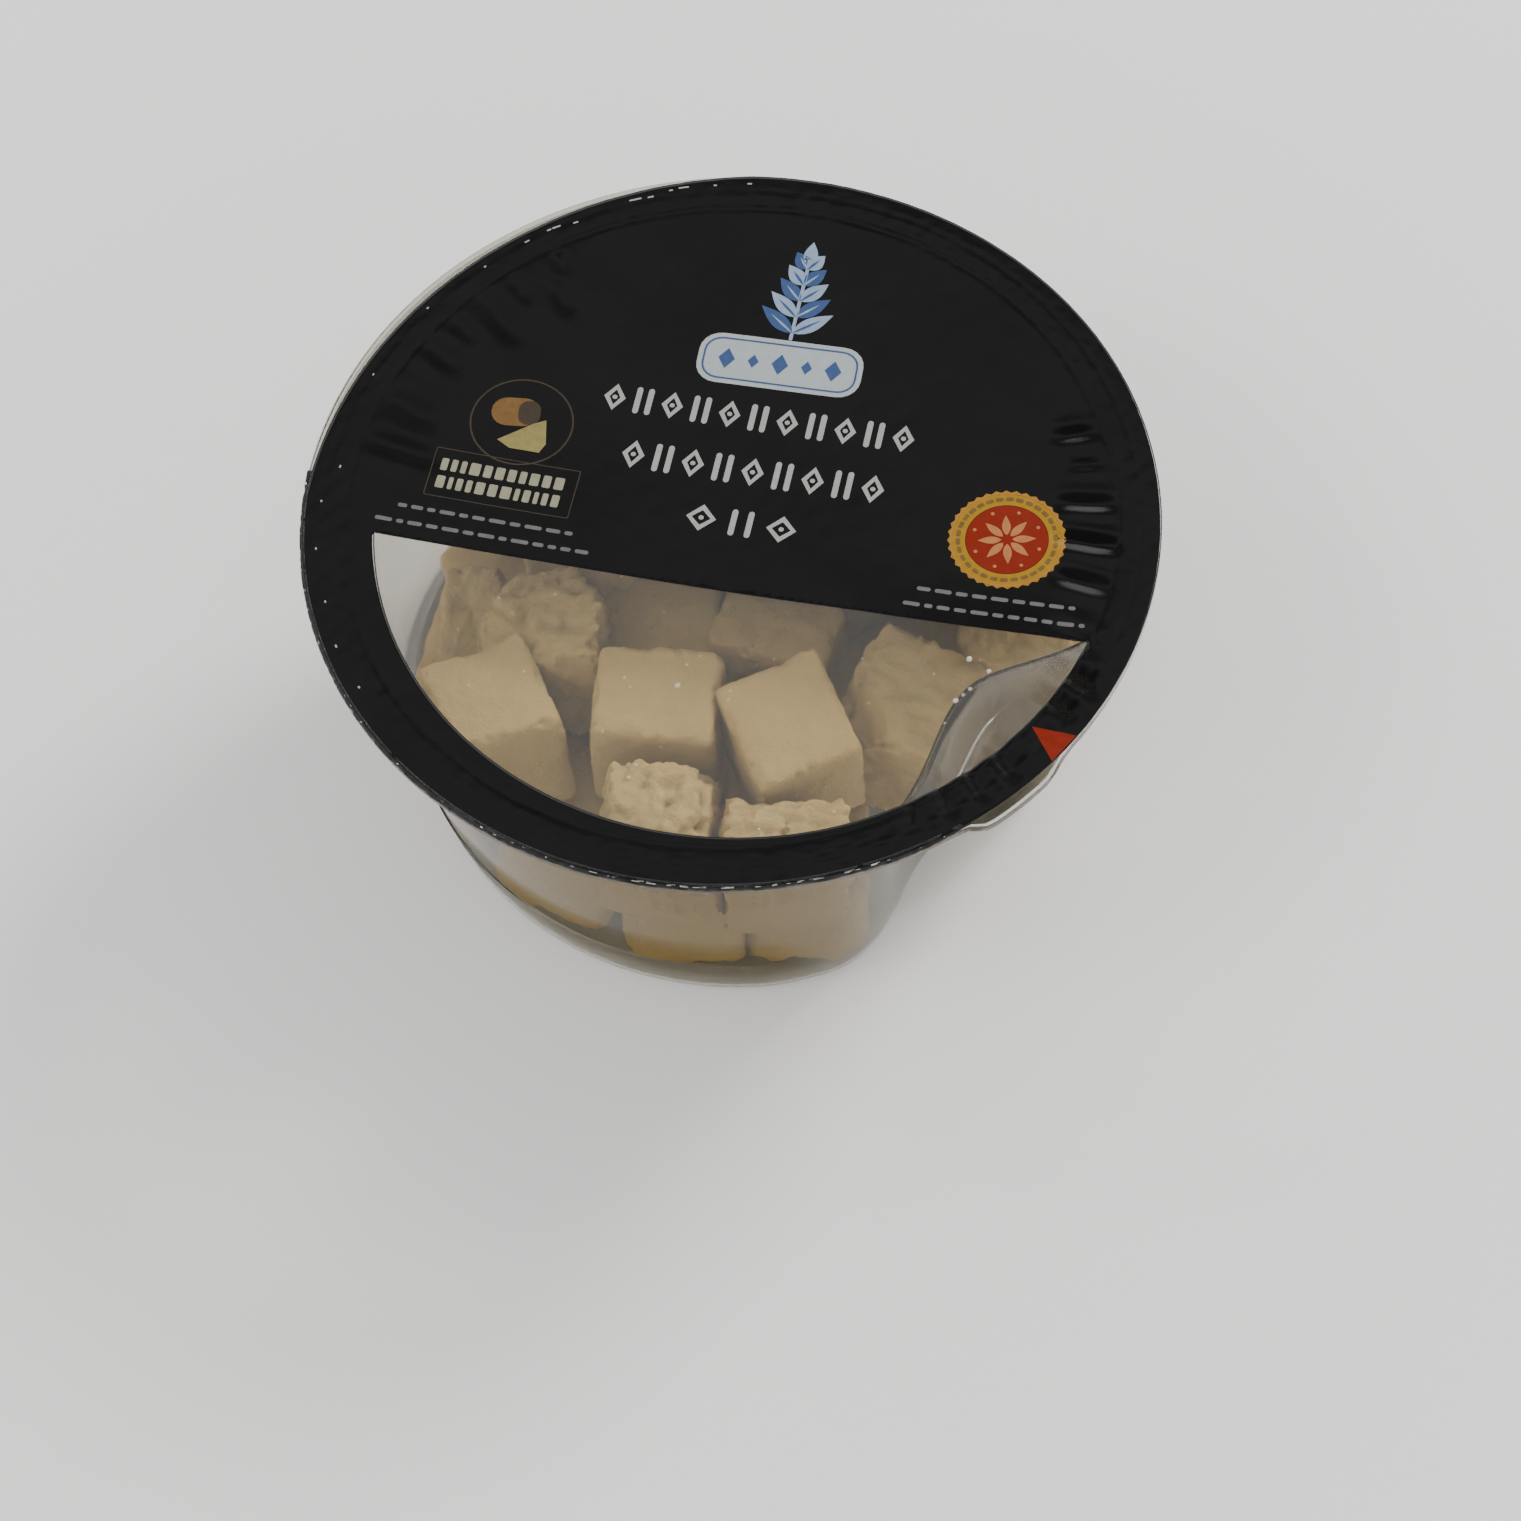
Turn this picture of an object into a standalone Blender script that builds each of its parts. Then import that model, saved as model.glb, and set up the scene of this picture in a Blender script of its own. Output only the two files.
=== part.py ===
"""A sealed clear tub of hard-cheese chunks under a printed peel-off film.

Three pieces: a thin thermoformed cup with a flange and a finger flute under the
pull corner, the film welded to the flange, and the heap of chunks that fills the cup.

Frame: metres, +Z up, origin at the middle of the foot. -Y is the side of the clear
window in the film, and the flute is 31 degrees from +X towards -Y.
"""
import bmesh
import bpy
from collections import namedtuple
from math import asin, atan2, cos, hypot, pi, radians, sin
from mathutils import Euler, Vector, noise
from random import Random

MM = 0.001

# Cup, in millimetres
FLANGE_R = 57.5
FLANGE_TOP = 52.0
FLANGE_T = 0.7
LIP_DEPTH = 1.6
LIP_T = 0.7
WALL_T = 0.7
WALL_TOP_R = 54.0
FOOT_R = 45.1
CORNER_R = 3.5
BAND_HEIGHT = 9.0
BAND_STEP = 0.45
BAND_BLEND = 0.7
BAND_DIVE_HEIGHT = 4.2
FOOT_RING_IN = 7.5
PANEL_EDGE_IN = 8.7
PANEL_RISE = 0.6
MOUTH_CORNER = 0.9

# Finger flute: how far it dents the wall at the mouth and at the foot, and its spread
FLUTE_ANGLE = radians(-31.0)
FLUTE_DENT_TOP = 12.0
FLUTE_DENT_FOOT = 9.2
FLUTE_SPREAD_BACK = radians(27.0)
FLUTE_SPREAD_FRONT = radians(33.0)
BAND_DIVE = radians(9.0)

# Pull corner: the outer part of the flange steps down, so that the film's edge is free
SEAL_WIDTH = 5.2
LEDGE_DROP = 3.5
LEDGE_RUN = 0.8
LEDGE_ANGLE = radians(-38.0)
LEDGE_FLAT = radians(4.5)
LEDGE_BLEND = radians(5.0)
LEDGE_MAX_R = 56.0

# Film
FILM_R = 56.9
FILM_T = 0.3
FILM_DISH = 1.5
FILM_RINGS = (0.85, 0.62, 0.36)
GAP = 0.3

TURN_STEPS = 90
SMOOTH_ANGLE = radians(40)
HEAP_SMOOTH_ANGLE = radians(35)

# Heap of chunks: gaps to the tub, roundness of the edges, crags and breaks
CHUNK_GAP = 0.45
GAP_STEP = 0.013
CORE_GAP = 1.5
FLUTE_EXTRA_GAP = 1.0
EDGE_POWER = 12.0
CRAG_SCALE = 0.16
CRAG_NOISE = (0.7, 2.0, 3)
BREAK_REACH = (0.70, 0.80)
BREAK_ACROSS = (0.5, 0.3)
BREAK_UP = (-0.6, 1.0)
FAR_SPREAD = (-1.0, 0.6)
SIZE_SPREAD = (0.94, 1.08)
TURN_SPREAD = 22.0
LEAN_SPREAD = 7.0
TOP_SPREAD = 1.5
CRAG_SPREAD = (0.3, 0.7)
CUT_CHOICE = (1, 2, 2, 3)
SHOWN_CUTS = 4
HIDDEN_CUTS = 3
LOWER_CUTS = 2
LOWER_TOP = 30.0
CORE_R = 33.0
CORE_FOOT = 2.0
CORE_TOP = 27.0
CORE_STEPS = 24

Chunk = namedtuple("Chunk", "x y top size taper turn lean crag cuts seed")


def flute_share(angle):
    """1 in the middle of the flute, easing to 0 at its edges."""
    off = (angle - FLUTE_ANGLE + pi) % (2 * pi) - pi
    spread = FLUTE_SPREAD_BACK if off > 0 else FLUTE_SPREAD_FRONT
    if abs(off) >= spread:
        return 0.0
    return 0.5 * (1 + cos(pi * off / spread))


def wall_radius(angle, z):
    """Outer radius of the tapered, fluted wall at a height."""
    drop = 1 - z / FLANGE_TOP
    circle = WALL_TOP_R + (FOOT_R - WALL_TOP_R) * drop
    dent = FLUTE_DENT_TOP + (FLUTE_DENT_FOOT - FLUTE_DENT_TOP) * drop
    return circle - dent * flute_share(angle)


def band_fade(angle):
    """1 where the foot band stands out, easing to 0 as it dives at the flute."""
    off = (angle - FLUTE_ANGLE + pi) % (2 * pi) - pi
    spread = FLUTE_SPREAD_BACK if off > 0 else FLUTE_SPREAD_FRONT
    past = (abs(off) - spread) / BAND_DIVE
    past = min(max(past, 0.0), 1.0)
    return past * past * (3 - 2 * past)


def ledge_share(angle):
    """1 where the flange is stepped down at the pull corner, easing to 0 beside it."""
    off = abs((angle - LEDGE_ANGLE + pi) % (2 * pi) - pi)
    past = min(max((off - LEDGE_FLAT) / LEDGE_BLEND, 0.0), 1.0)
    return 1 - past * past * (3 - 2 * past)


def mouth_radius(angle):
    """Where the film leaves the flange and spans the opening."""
    return wall_radius(angle, FLANGE_TOP) + MOUTH_CORNER - WALL_T


def ledge_radius(angle):
    """Outer edge of the sealed part of the flange."""
    return min(mouth_radius(angle) + SEAL_WIDTH, LEDGE_MAX_R)


def inner_radius(angle, z):
    """Radius of the free space in the cup at a height, without the foot band's step."""
    wall = wall_radius(angle, max(z, CORNER_R)) - WALL_T
    if z >= CORNER_R:
        return wall
    bend = CORNER_R - WALL_T
    down = min((CORNER_R - z) / bend, 1.0)
    return wall - bend * (1 - cos(asin(down)))


def ring(bm, radius_at, height_at):
    """One closed row of points round the axis."""
    row = []
    for step in range(TURN_STEPS):
        angle = 2 * pi * step / TURN_STEPS
        radius = radius_at(angle) * MM
        row.append(bm.verts.new((radius * cos(angle), radius * sin(angle), height_at(angle) * MM)))
    return row


def join_rows(bm, rows):
    """Faces between neighbouring rows."""
    for low, high in zip(rows, rows[1:]):
        for step in range(TURN_STEPS):
            after = (step + 1) % TURN_STEPS
            bm.faces.new((low[step], low[after], high[after], high[step]))


def fan(bm, row, height):
    """Closes a row with triangles to a point on the axis."""
    middle = bm.verts.new((0, 0, height * MM))
    for step in range(TURN_STEPS):
        bm.faces.new((row[step], row[(step + 1) % TURN_STEPS], middle))


def material(name, colour, roughness, alpha=1.0):
    made = bpy.data.materials.new(name)
    made.use_nodes = True
    shader = made.node_tree.nodes["Principled BSDF"]
    shader.inputs["Base Color"].default_value = (*colour, 1.0)
    shader.inputs["Roughness"].default_value = roughness
    shader.inputs["Alpha"].default_value = alpha
    made.diffuse_color = (*colour, alpha)
    return made


def finish_object(name, bm, finish, smooth_angle):
    """Turns a bmesh into an object with its faces out and its round stretches smooth."""
    bmesh.ops.recalc_face_normals(bm, faces=bm.faces)
    bmesh.ops.triangulate(bm, faces=bm.faces)
    mesh = bpy.data.meshes.new(name)
    bm.to_mesh(mesh)
    bm.free()
    mesh.shade_smooth()
    mesh.set_sharp_from_angle(angle=smooth_angle)
    mesh.materials.append(finish)
    made = bpy.data.objects.new(name, mesh)
    bpy.context.scene.collection.objects.link(made)
    return made


def offset_wall(z_at, outward):
    """A row that follows the wall, a distance outward of its outer face."""
    return (lambda a: wall_radius(a, z_at(a)) + outward(a)), z_at


def level(z):
    return lambda a: z


def make_cup(finish):
    bm = bmesh.new()
    under = FLANGE_TOP - FLANGE_T

    def band_low(a):
        return BAND_DIVE_HEIGHT + (BAND_HEIGHT - BAND_DIVE_HEIGHT) * band_fade(a)

    def band_top(a):
        return band_low(a) + BAND_BLEND

    def step_out(a):
        return BAND_STEP * band_fade(a)

    def corner(share, bend, inward):
        """Point of the rounded foot corner, from the wall at 0 to the floor at 1."""
        turn = share * pi / 2
        z = CORNER_R - bend * sin(turn)
        back = bend * (1 - cos(turn)) + inward
        radius = (lambda a: wall_radius(a, CORNER_R) + step_out(a) - back)
        return radius, level(z)

    def stepped(z):
        return lambda a: z - LEDGE_DROP * ledge_share(a)

    outside = [
        (level(FLANGE_R), stepped(FLANGE_TOP)),
        (level(FLANGE_R), stepped(FLANGE_TOP - LIP_DEPTH)),
        (level(FLANGE_R - LIP_T), stepped(FLANGE_TOP - LIP_DEPTH)),
        (level(FLANGE_R - LIP_T), stepped(under)),
        (lambda a: ledge_radius(a) + LEDGE_RUN / 2 - WALL_T, stepped(under)),
        (lambda a: ledge_radius(a) - WALL_T, level(under)),
        offset_wall(level(under), level(MOUTH_CORNER)),
        offset_wall(level(under - MOUTH_CORNER), level(0)),
        offset_wall(band_top, level(0)),
        offset_wall(band_low, step_out),
        corner(0, CORNER_R, 0),
        corner(1 / 3, CORNER_R, 0),
        corner(2 / 3, CORNER_R, 0),
        corner(1, CORNER_R, 0),
        offset_wall(level(0), level(-FOOT_RING_IN)),
        offset_wall(level(PANEL_RISE), level(-PANEL_EDGE_IN)),
    ]
    bend_in = CORNER_R - WALL_T
    floor = WALL_T
    inside = [
        offset_wall(level(floor + PANEL_RISE), level(-PANEL_EDGE_IN - WALL_T / 2)),
        offset_wall(level(floor), level(-FOOT_RING_IN + WALL_T / 2)),
        corner(1, bend_in, WALL_T),
        corner(1 / 2, bend_in, WALL_T),
        corner(0, bend_in, WALL_T),
        offset_wall(band_low, lambda a: step_out(a) - WALL_T),
        offset_wall(band_top, level(-WALL_T)),
        offset_wall(level(FLANGE_TOP - MOUTH_CORNER), level(-WALL_T)),
        (mouth_radius, level(FLANGE_TOP)),
        (ledge_radius, level(FLANGE_TOP)),
        (lambda a: ledge_radius(a) + LEDGE_RUN / 2, stepped(FLANGE_TOP)),
    ]
    outer_rows = [ring(bm, *section) for section in outside]
    inner_rows = [ring(bm, *section) for section in inside]
    join_rows(bm, outer_rows)
    join_rows(bm, inner_rows)
    join_rows(bm, [inner_rows[-1], outer_rows[0]])
    fan(bm, outer_rows[-1], PANEL_RISE)
    fan(bm, inner_rows[0], floor + PANEL_RISE)
    return finish_object("cup", bm, finish, SMOOTH_ANGLE)


def film_low(share):
    """Height of the film's underside: flat on the flange, dished over the mouth."""
    return FLANGE_TOP + GAP - FILM_DISH * (1 - share * share)


def make_film(finish):
    bm = bmesh.new()
    skins = []
    for lift in (0.0, FILM_T):
        rows = [
            ring(bm, level(FILM_R), level(film_low(1) + lift)),
            ring(bm, mouth_radius, level(film_low(1) + lift)),
        ]
        for share in FILM_RINGS:
            rows.append(ring(bm, lambda a, s=share: mouth_radius(a) * s, level(film_low(share) + lift)))
        join_rows(bm, rows)
        fan(bm, rows[-1], film_low(0) + lift)
        skins.append(rows)
    join_rows(bm, [skins[0][0], skins[1][0]])
    return finish_object("lid_film", bm, finish, SMOOTH_ANGLE)


# The chunks that the window shows, in millimetres and degrees: middle, height of the
# top, size, how much wider or narrower the foot is, turn, lean about X and Y, depth of
# the crags, number of broken faces and the seed of the breaks.
SHOWN = (
    Chunk(-27.8, -29.0, 43.5, (15.5, 15.0, 17.0), 0.00, 35, (-3, 7), 0.25, 0, 11),
    Chunk(-23.5, -13.8, 41.5, (17.5, 16.5, 18.5), 0.00, 12, (-4, -3), 0.8, 3, 12),
    Chunk(-5.4, -23.4, 42.8, (16.8, 14.4, 18.5), 0.05, 6, (3, 0), 0.3, 1, 13),
    Chunk(12.9, -24.7, 43.8, (15.0, 17.0, 16.5), 0.00, 34, (2, -3), 0.25, 0, 14),
    Chunk(27.6, -15.6, 41.2, (19.5, 17.5, 19.0), -0.30, -13, (3, 5), 0.6, 3, 15),
    Chunk(7.0, -4.5, 35.5, (17.0, 15.0, 15.0), 0.00, -6, (-4, 2), 0.5, 2, 16),
    Chunk(-1.4, -40.8, 44.0, (13.6, 13.0, 18.5), 0.35, -2, (-7, 0), 0.5, 2, 17),
    Chunk(15.6, -42.0, 43.2, (17.0, 11.0, 20.5), 0.00, 14, (-8, 2), 0.4, 2, 18),
    Chunk(-33.6, -11.5, 36.0, (9.0, 16.5, 14.0), 0.00, 8, (4, -8), 0.5, 2, 19),
    Chunk(39.5, -1.5, 38.0, (16.0, 16.5, 17.0), 0.00, -82, (-3, -4), 0.6, 2, 20),
    Chunk(-9.0, -6.0, 33.5, (17.0, 16.0, 15.0), 0.00, 8, (3, -2), 0.4, 1, 21),
)


def ring_of_chunks(count, radius, first, last, top, side, seed):
    """A row of chunks along an arc, each a little different."""
    draw = Random(seed)
    row = []
    for index in range(count):
        turn = first + (last - first) * index / max(count - 1, 1)
        far = radius + draw.uniform(*FAR_SPREAD)
        x = far * cos(radians(turn))
        y = far * sin(radians(turn))
        size = tuple(side * draw.uniform(*SIZE_SPREAD) for _ in range(3))
        turn += draw.uniform(-TURN_SPREAD, TURN_SPREAD)
        lean = (draw.uniform(-LEAN_SPREAD, LEAN_SPREAD), draw.uniform(-LEAN_SPREAD, LEAN_SPREAD))
        high = top + draw.uniform(-TOP_SPREAD, TOP_SPREAD)
        crag = draw.uniform(*CRAG_SPREAD)
        cuts = draw.choice(CUT_CHOICE)
        row.append(Chunk(x, y, high, size, 0.0, turn, lean, crag, cuts, seed + index))
    return row


def all_chunks():
    """The shown chunks, those under the print, and the lower layer along the wall."""
    under_print = ring_of_chunks(6, 41.0, 21, 149, 41.0, 16.2, 200)
    under_print += ring_of_chunks(3, 20.5, 38, 165, 40.5, 16.8, 230)
    lower_left = ring_of_chunks(8, 35.0, 8, 190, 22.5, 18.0, 260)
    lower_front = ring_of_chunks(4, 35.5, 214, 296, 22.5, 17.6, 290)
    return list(SHOWN) + under_print + lower_left + lower_front


def break_planes(chunk):
    """Flat breaks that take off an edge or a corner: unit normals and their reach."""
    draw = Random(chunk.seed)
    planes = []
    for _ in range(chunk.cuts):
        across = [draw.choice((-1, 1)) * draw.uniform(low, 1) for low in BREAK_ACROSS]
        normal = Vector((*across, draw.uniform(*BREAK_UP))).normalized()
        corner = sum(abs(n) for n in normal)
        planes.append((normal, corner * draw.uniform(*BREAK_REACH)))
    return planes


def chunk_points(chunk, unit_points):
    """The points of a unit block, rounded, broken, roughened and put in place."""
    half = Vector(chunk.size) / 2
    turn = Euler((radians(chunk.lean[0]), radians(chunk.lean[1]), radians(chunk.turn))).to_matrix()
    drift = Vector((chunk.seed * 3.1, chunk.seed * 1.7, 0))
    planes = break_planes(chunk)
    placed = []
    for unit in unit_points:
        reach = sum(abs(c) ** EDGE_POWER for c in unit) ** (1 / EDGE_POWER)
        point = unit / reach
        for normal, limit in planes:
            over = point.dot(normal) - limit
            if over > 0:
                point -= normal * over
        spread = 1 + chunk.taper * (0.5 - point.z / 2)
        point = Vector((point.x * half.x * spread, point.y * half.y * spread, point.z * half.z))
        crag = noise.fractal((point + drift) * CRAG_SCALE, *CRAG_NOISE)
        point += point.normalized() * crag * chunk.crag
        placed.append(turn @ point)
    rise = chunk.top - max(p.z for p in placed)
    return [p + Vector((chunk.x, chunk.y, rise)) for p in placed]


def keep_in_tub(point, gap):
    """Holds a point clear of the wall, the floor and the film."""
    z = max(point.z, WALL_T + PANEL_RISE + gap)
    angle = atan2(point.y, point.x)
    far = hypot(point.x, point.y)
    room = inner_radius(angle, z) - gap - FLUTE_EXTRA_GAP * flute_share(angle)
    if far > room:
        point = Vector((point.x * room / far, point.y * room / far, point.z))
        far = room
    high = film_low(min(far / mouth_radius(angle), 1.0)) - gap
    return Vector((point.x, point.y, min(z, high)))


def block_mesh(name, cuts):
    """A cube of side 2 with its faces cut into a grid."""
    bm = bmesh.new()
    bmesh.ops.create_cube(bm, size=2)
    bmesh.ops.subdivide_edges(bm, edges=bm.edges, cuts=cuts, use_grid_fill=True)
    bmesh.ops.triangulate(bm, faces=bm.faces)
    mesh = bpy.data.meshes.new(name)
    bm.to_mesh(mesh)
    bm.free()
    return mesh


def make_chunk(index, chunk):
    hidden = LOWER_CUTS if chunk.top < LOWER_TOP else HIDDEN_CUTS
    mesh = block_mesh("chunk", SHOWN_CUTS if chunk in SHOWN else hidden)
    points = chunk_points(chunk, [v.co.copy() for v in mesh.vertices])
    gap = CHUNK_GAP + GAP_STEP * index
    for vertex, point in zip(mesh.vertices, points):
        vertex.co = keep_in_tub(point, gap) * MM
    return bpy.data.objects.new(f"chunk_{index:02d}", mesh)


def make_core(finish):
    """The inside of the heap, out of sight behind the chunks that show."""
    bm = bmesh.new()
    bmesh.ops.create_cone(bm, cap_ends=True, segments=CORE_STEPS, radius1=CORE_R * MM,
                          radius2=CORE_R * MM, depth=(CORE_TOP - CORE_FOOT) * MM)
    bmesh.ops.translate(bm, verts=bm.verts, vec=(0, 0, (CORE_TOP + CORE_FOOT) / 2 * MM))
    for vertex in bm.verts:
        vertex.co = keep_in_tub(vertex.co / MM, CORE_GAP) * MM
    return finish_object("cheese_chunks", bm, finish, HEAP_SMOOTH_ANGLE)


def keep_outer_skin(bm):
    """Drops sealed hollows and loose scraps, so that one closed body is left."""
    islands = []
    unseen = set(bm.faces)
    while unseen:
        start = unseen.pop()
        island = [start]
        for face in island:
            for edge in face.edges:
                for other in edge.link_faces:
                    if other in unseen:
                        unseen.remove(other)
                        island.append(other)
        islands.append(island)
    islands.sort(key=len)
    spare = [face for island in islands[:-1] for face in island]
    bmesh.ops.delete(bm, geom=spare, context="FACES")


def make_heap(finish):
    """All the chunks fused on to one core."""
    core = make_core(finish)
    pile = bpy.data.collections.new("pile")
    bpy.context.scene.collection.children.link(pile)
    for index, chunk in enumerate(all_chunks(), start=1):
        pile.objects.link(make_chunk(index, chunk))
    fuse = core.modifiers.new("fuse", "BOOLEAN")
    fuse.operation = "UNION"
    fuse.operand_type = "COLLECTION"
    fuse.collection = pile
    fuse.solver = "EXACT"
    fuse.use_self = True
    fused = bpy.data.meshes.new_from_object(core.evaluated_get(bpy.context.evaluated_depsgraph_get()))
    core.modifiers.clear()
    for made in list(pile.objects):
        bpy.data.objects.remove(made)
    bpy.data.collections.remove(pile)
    bpy.data.objects.remove(core)
    bm = bmesh.new()
    bm.from_mesh(fused)
    keep_outer_skin(bm)
    bpy.data.meshes.remove(fused)
    return finish_object("cheese_chunks", bm, finish, HEAP_SMOOTH_ANGLE)


def main():
    for old in list(bpy.data.objects):
        bpy.data.objects.remove(old)
    clear_plastic = material("clear_plastic", (0.80, 0.81, 0.80), 0.08, alpha=0.35)
    printed_film = material("printed_film", (0.012, 0.012, 0.013), 0.25)
    hard_cheese = material("hard_cheese", (0.62, 0.50, 0.30), 0.7)
    make_cup(clear_plastic)
    make_film(printed_film)
    make_heap(hard_cheese)


main()
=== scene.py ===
from collections import namedtuple
from math import atan2, cos, exp, hypot, pi, radians, sin
from random import Random

import bmesh
import bpy
import numpy as np
from mathutils import Euler, Matrix, Vector, noise
from mathutils.bvhtree import BVHTree


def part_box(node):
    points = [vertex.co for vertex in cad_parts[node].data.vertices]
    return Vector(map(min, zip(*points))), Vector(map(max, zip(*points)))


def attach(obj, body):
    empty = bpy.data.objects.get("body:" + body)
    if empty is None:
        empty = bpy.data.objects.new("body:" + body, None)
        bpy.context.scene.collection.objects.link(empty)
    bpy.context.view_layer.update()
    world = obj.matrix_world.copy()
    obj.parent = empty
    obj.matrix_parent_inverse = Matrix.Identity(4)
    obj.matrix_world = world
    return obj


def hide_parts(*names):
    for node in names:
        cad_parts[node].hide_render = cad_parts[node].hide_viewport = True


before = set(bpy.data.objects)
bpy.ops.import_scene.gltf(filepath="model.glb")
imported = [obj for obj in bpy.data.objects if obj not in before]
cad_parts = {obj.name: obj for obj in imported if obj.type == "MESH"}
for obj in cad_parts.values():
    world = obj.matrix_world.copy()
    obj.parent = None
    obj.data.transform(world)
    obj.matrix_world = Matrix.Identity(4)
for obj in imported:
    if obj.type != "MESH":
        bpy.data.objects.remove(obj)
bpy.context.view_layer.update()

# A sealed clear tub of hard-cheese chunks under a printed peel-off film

MM = 0.001

# The tub's form, in millimetres, as the solids have it
FLANGE_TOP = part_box("cup")[1].z / MM
FLANGE_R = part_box("cup")[1].x / MM
LIP_DEPTH = 1.6
WALL_TOP_R = 54.0
FOOT_R = 45.1
CORNER_R = 3.5
BAND_DIVE_HEIGHT = 4.2
FOOT_RING_IN = 7.5
PANEL_EDGE_IN = 8.7
PANEL_RISE = 0.6
MOUTH_CORNER = 0.9
SOLID_WALL_T = 0.7
FLUTE_ANGLE = radians(-31.0)
FLUTE_DENT_TOP = 12.0
FLUTE_DENT_FOOT = 9.2
FLUTE_SPREAD_BACK = radians(27.0)
FLUTE_SPREAD_FRONT = radians(33.0)
BAND_DIVE = radians(9.0)
SEAL_WIDTH = 5.2
LEDGE_DROP = 3.5
LEDGE_RUN = 0.8
LEDGE_ANGLE = radians(-38.0)
LEDGE_FLAT = radians(4.5)
LEDGE_BLEND = radians(5.0)
LEDGE_MAX_R = 56.0

# Finer forms that only the looks have; the foot band is a little higher and fainter than in the solids
BAND_HEIGHT = 10.3
BAND_STEP = 0.4
BAND_BLEND = 0.43
SHEET_T = 0.45
CUP_STEPS = 240
RIM_R = FLANGE_R - 0.15
RIM_BEND = 0.2
CORNER_SHARES = (0, 0.2, 0.4, 0.6, 0.8, 1)

# The flange's step at the pull corner, from the seal outward: share of its run and of its drop
LEDGE_SHAPE = ((0.0, 0.0), (0.15, 0.06), (0.4, 0.5), (0.65, 0.94), (0.9, 1.0))

# Film and its window
FILM_R = 57.3
FILM_SHORT = 1.45
FILM_SHORT_ANGLE = radians(146.0)
FILM_SHORT_SPREAD = radians(45.0)
LIP_FROM = radians(-176.0)
LIP_TO = radians(-46.0)
LIP_FADE = radians(7.0)
LIP_DOWN = 0.75
LIP_RAGGED = 0.14
LIP_DENTS = 0.12
LIP_CURL = 0.05
LIP_T = 0.07
LIP_STEPS = 420
FILM_SEAT = FLANGE_TOP + 0.05
FILM_T = 0.12
FILM_DISH = 1.5
WINDOW_TOP_Y = -12.0
WINDOW_ARC_R = 49.3
WINDOW_MIDDLE = (2.0, -0.3)
FILM_STEPS = 480
INNER_ROWS = 56
BAND_ROWS = 18

# Camera: the photo's frame in pixels, and where the film's middle lies from the camera
FRAME_PX = 1521
FOCAL_PX = 3455.8
SENSOR = 36.0
VIEW_TURN = radians(14.6)
VIEW_DOWN = radians(59.3)
VIEW_ROLL = radians(3.44)
FILM_FROM_CAMERA = (-4.1, 33.5, 460.0)
FILM_MIDDLE_UP = 0.3


# Shape of the wall

def turn_from(angle, middle):
    """Signed turn from a middle direction to an angle, at most half a turn."""
    return (angle - middle + pi) % (2 * pi) - pi


def ease(share):
    """A smooth step from 0 to 1."""
    return share * share * (3 - 2 * share)


def flute_spread(off):
    return np.where(off > 0, FLUTE_SPREAD_BACK, FLUTE_SPREAD_FRONT)


def flute_share(angle):
    """1 in the middle of the finger flute, easing to 0 at its edges."""
    off = turn_from(angle, FLUTE_ANGLE)
    spread = flute_spread(off)
    return np.where(abs(off) < spread, 0.5 * (1 + np.cos(pi * np.minimum(abs(off) / spread, 1))), 0.0)


def wall_radius(angle, z):
    """Radius of the wall's outer face at a height, dented at the finger flute."""
    drop = 1 - z / FLANGE_TOP
    plain = WALL_TOP_R + (FOOT_R - WALL_TOP_R) * drop
    dent = FLUTE_DENT_TOP + (FLUTE_DENT_FOOT - FLUTE_DENT_TOP) * drop
    return plain - dent * flute_share(angle)


def band_fade(angle):
    """1 where the foot band stands out, easing to 0 as it dives at the flute."""
    off = turn_from(angle, FLUTE_ANGLE)
    return ease(np.clip((abs(off) - flute_spread(off)) / BAND_DIVE, 0, 1))


def ledge_share(angle):
    """1 where the flange is stepped down at the pull corner, easing to 0 beside it."""
    off = abs(turn_from(angle, LEDGE_ANGLE))
    return 1 - ease(np.clip((off - LEDGE_FLAT) / LEDGE_BLEND, 0, 1))


def mouth_radius(angle):
    return wall_radius(angle, FLANGE_TOP) + MOUTH_CORNER - SOLID_WALL_T


def ledge_radius(angle):
    """Outer edge of the sealed part of the flange."""
    return np.minimum(mouth_radius(angle) + SEAL_WIDTH, LEDGE_MAX_R)


def inner_radius(angle, z):
    """Free space in the cup at a height."""
    wall = wall_radius(angle, max(z, CORNER_R)) - SOLID_WALL_T
    bend = CORNER_R - SOLID_WALL_T
    down = min(max(CORNER_R - z, 0) / bend, 1)
    return wall - bend * (1 - (1 - down * down) ** 0.5)


# Meshes

def add_mesh(name, points, faces, finish, smooth=True):
    """An object from points in millimetres."""
    mesh = bpy.data.meshes.new(name)
    mesh.from_pydata((np.array([tuple(p) for p in points], dtype=float) * MM).tolist(), [], faces)
    mesh.materials.append(finish)
    if smooth:
        mesh.shade_smooth()
    mesh.update()
    made = bpy.data.objects.new(name, mesh)
    bpy.context.scene.collection.objects.link(made)
    return made


def face_outward(made, up=False):
    """Turns faces to look outward, or up where the piece is a skin."""
    bm = bmesh.new()
    bm.from_mesh(made.data)
    bmesh.ops.recalc_face_normals(bm, faces=bm.faces)
    bm.normal_update()
    if up and sum(f.normal.z * f.calc_area() for f in bm.faces) < 0:
        bmesh.ops.reverse_faces(bm, faces=bm.faces)
    bm.to_mesh(made.data)
    bm.free()


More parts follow.
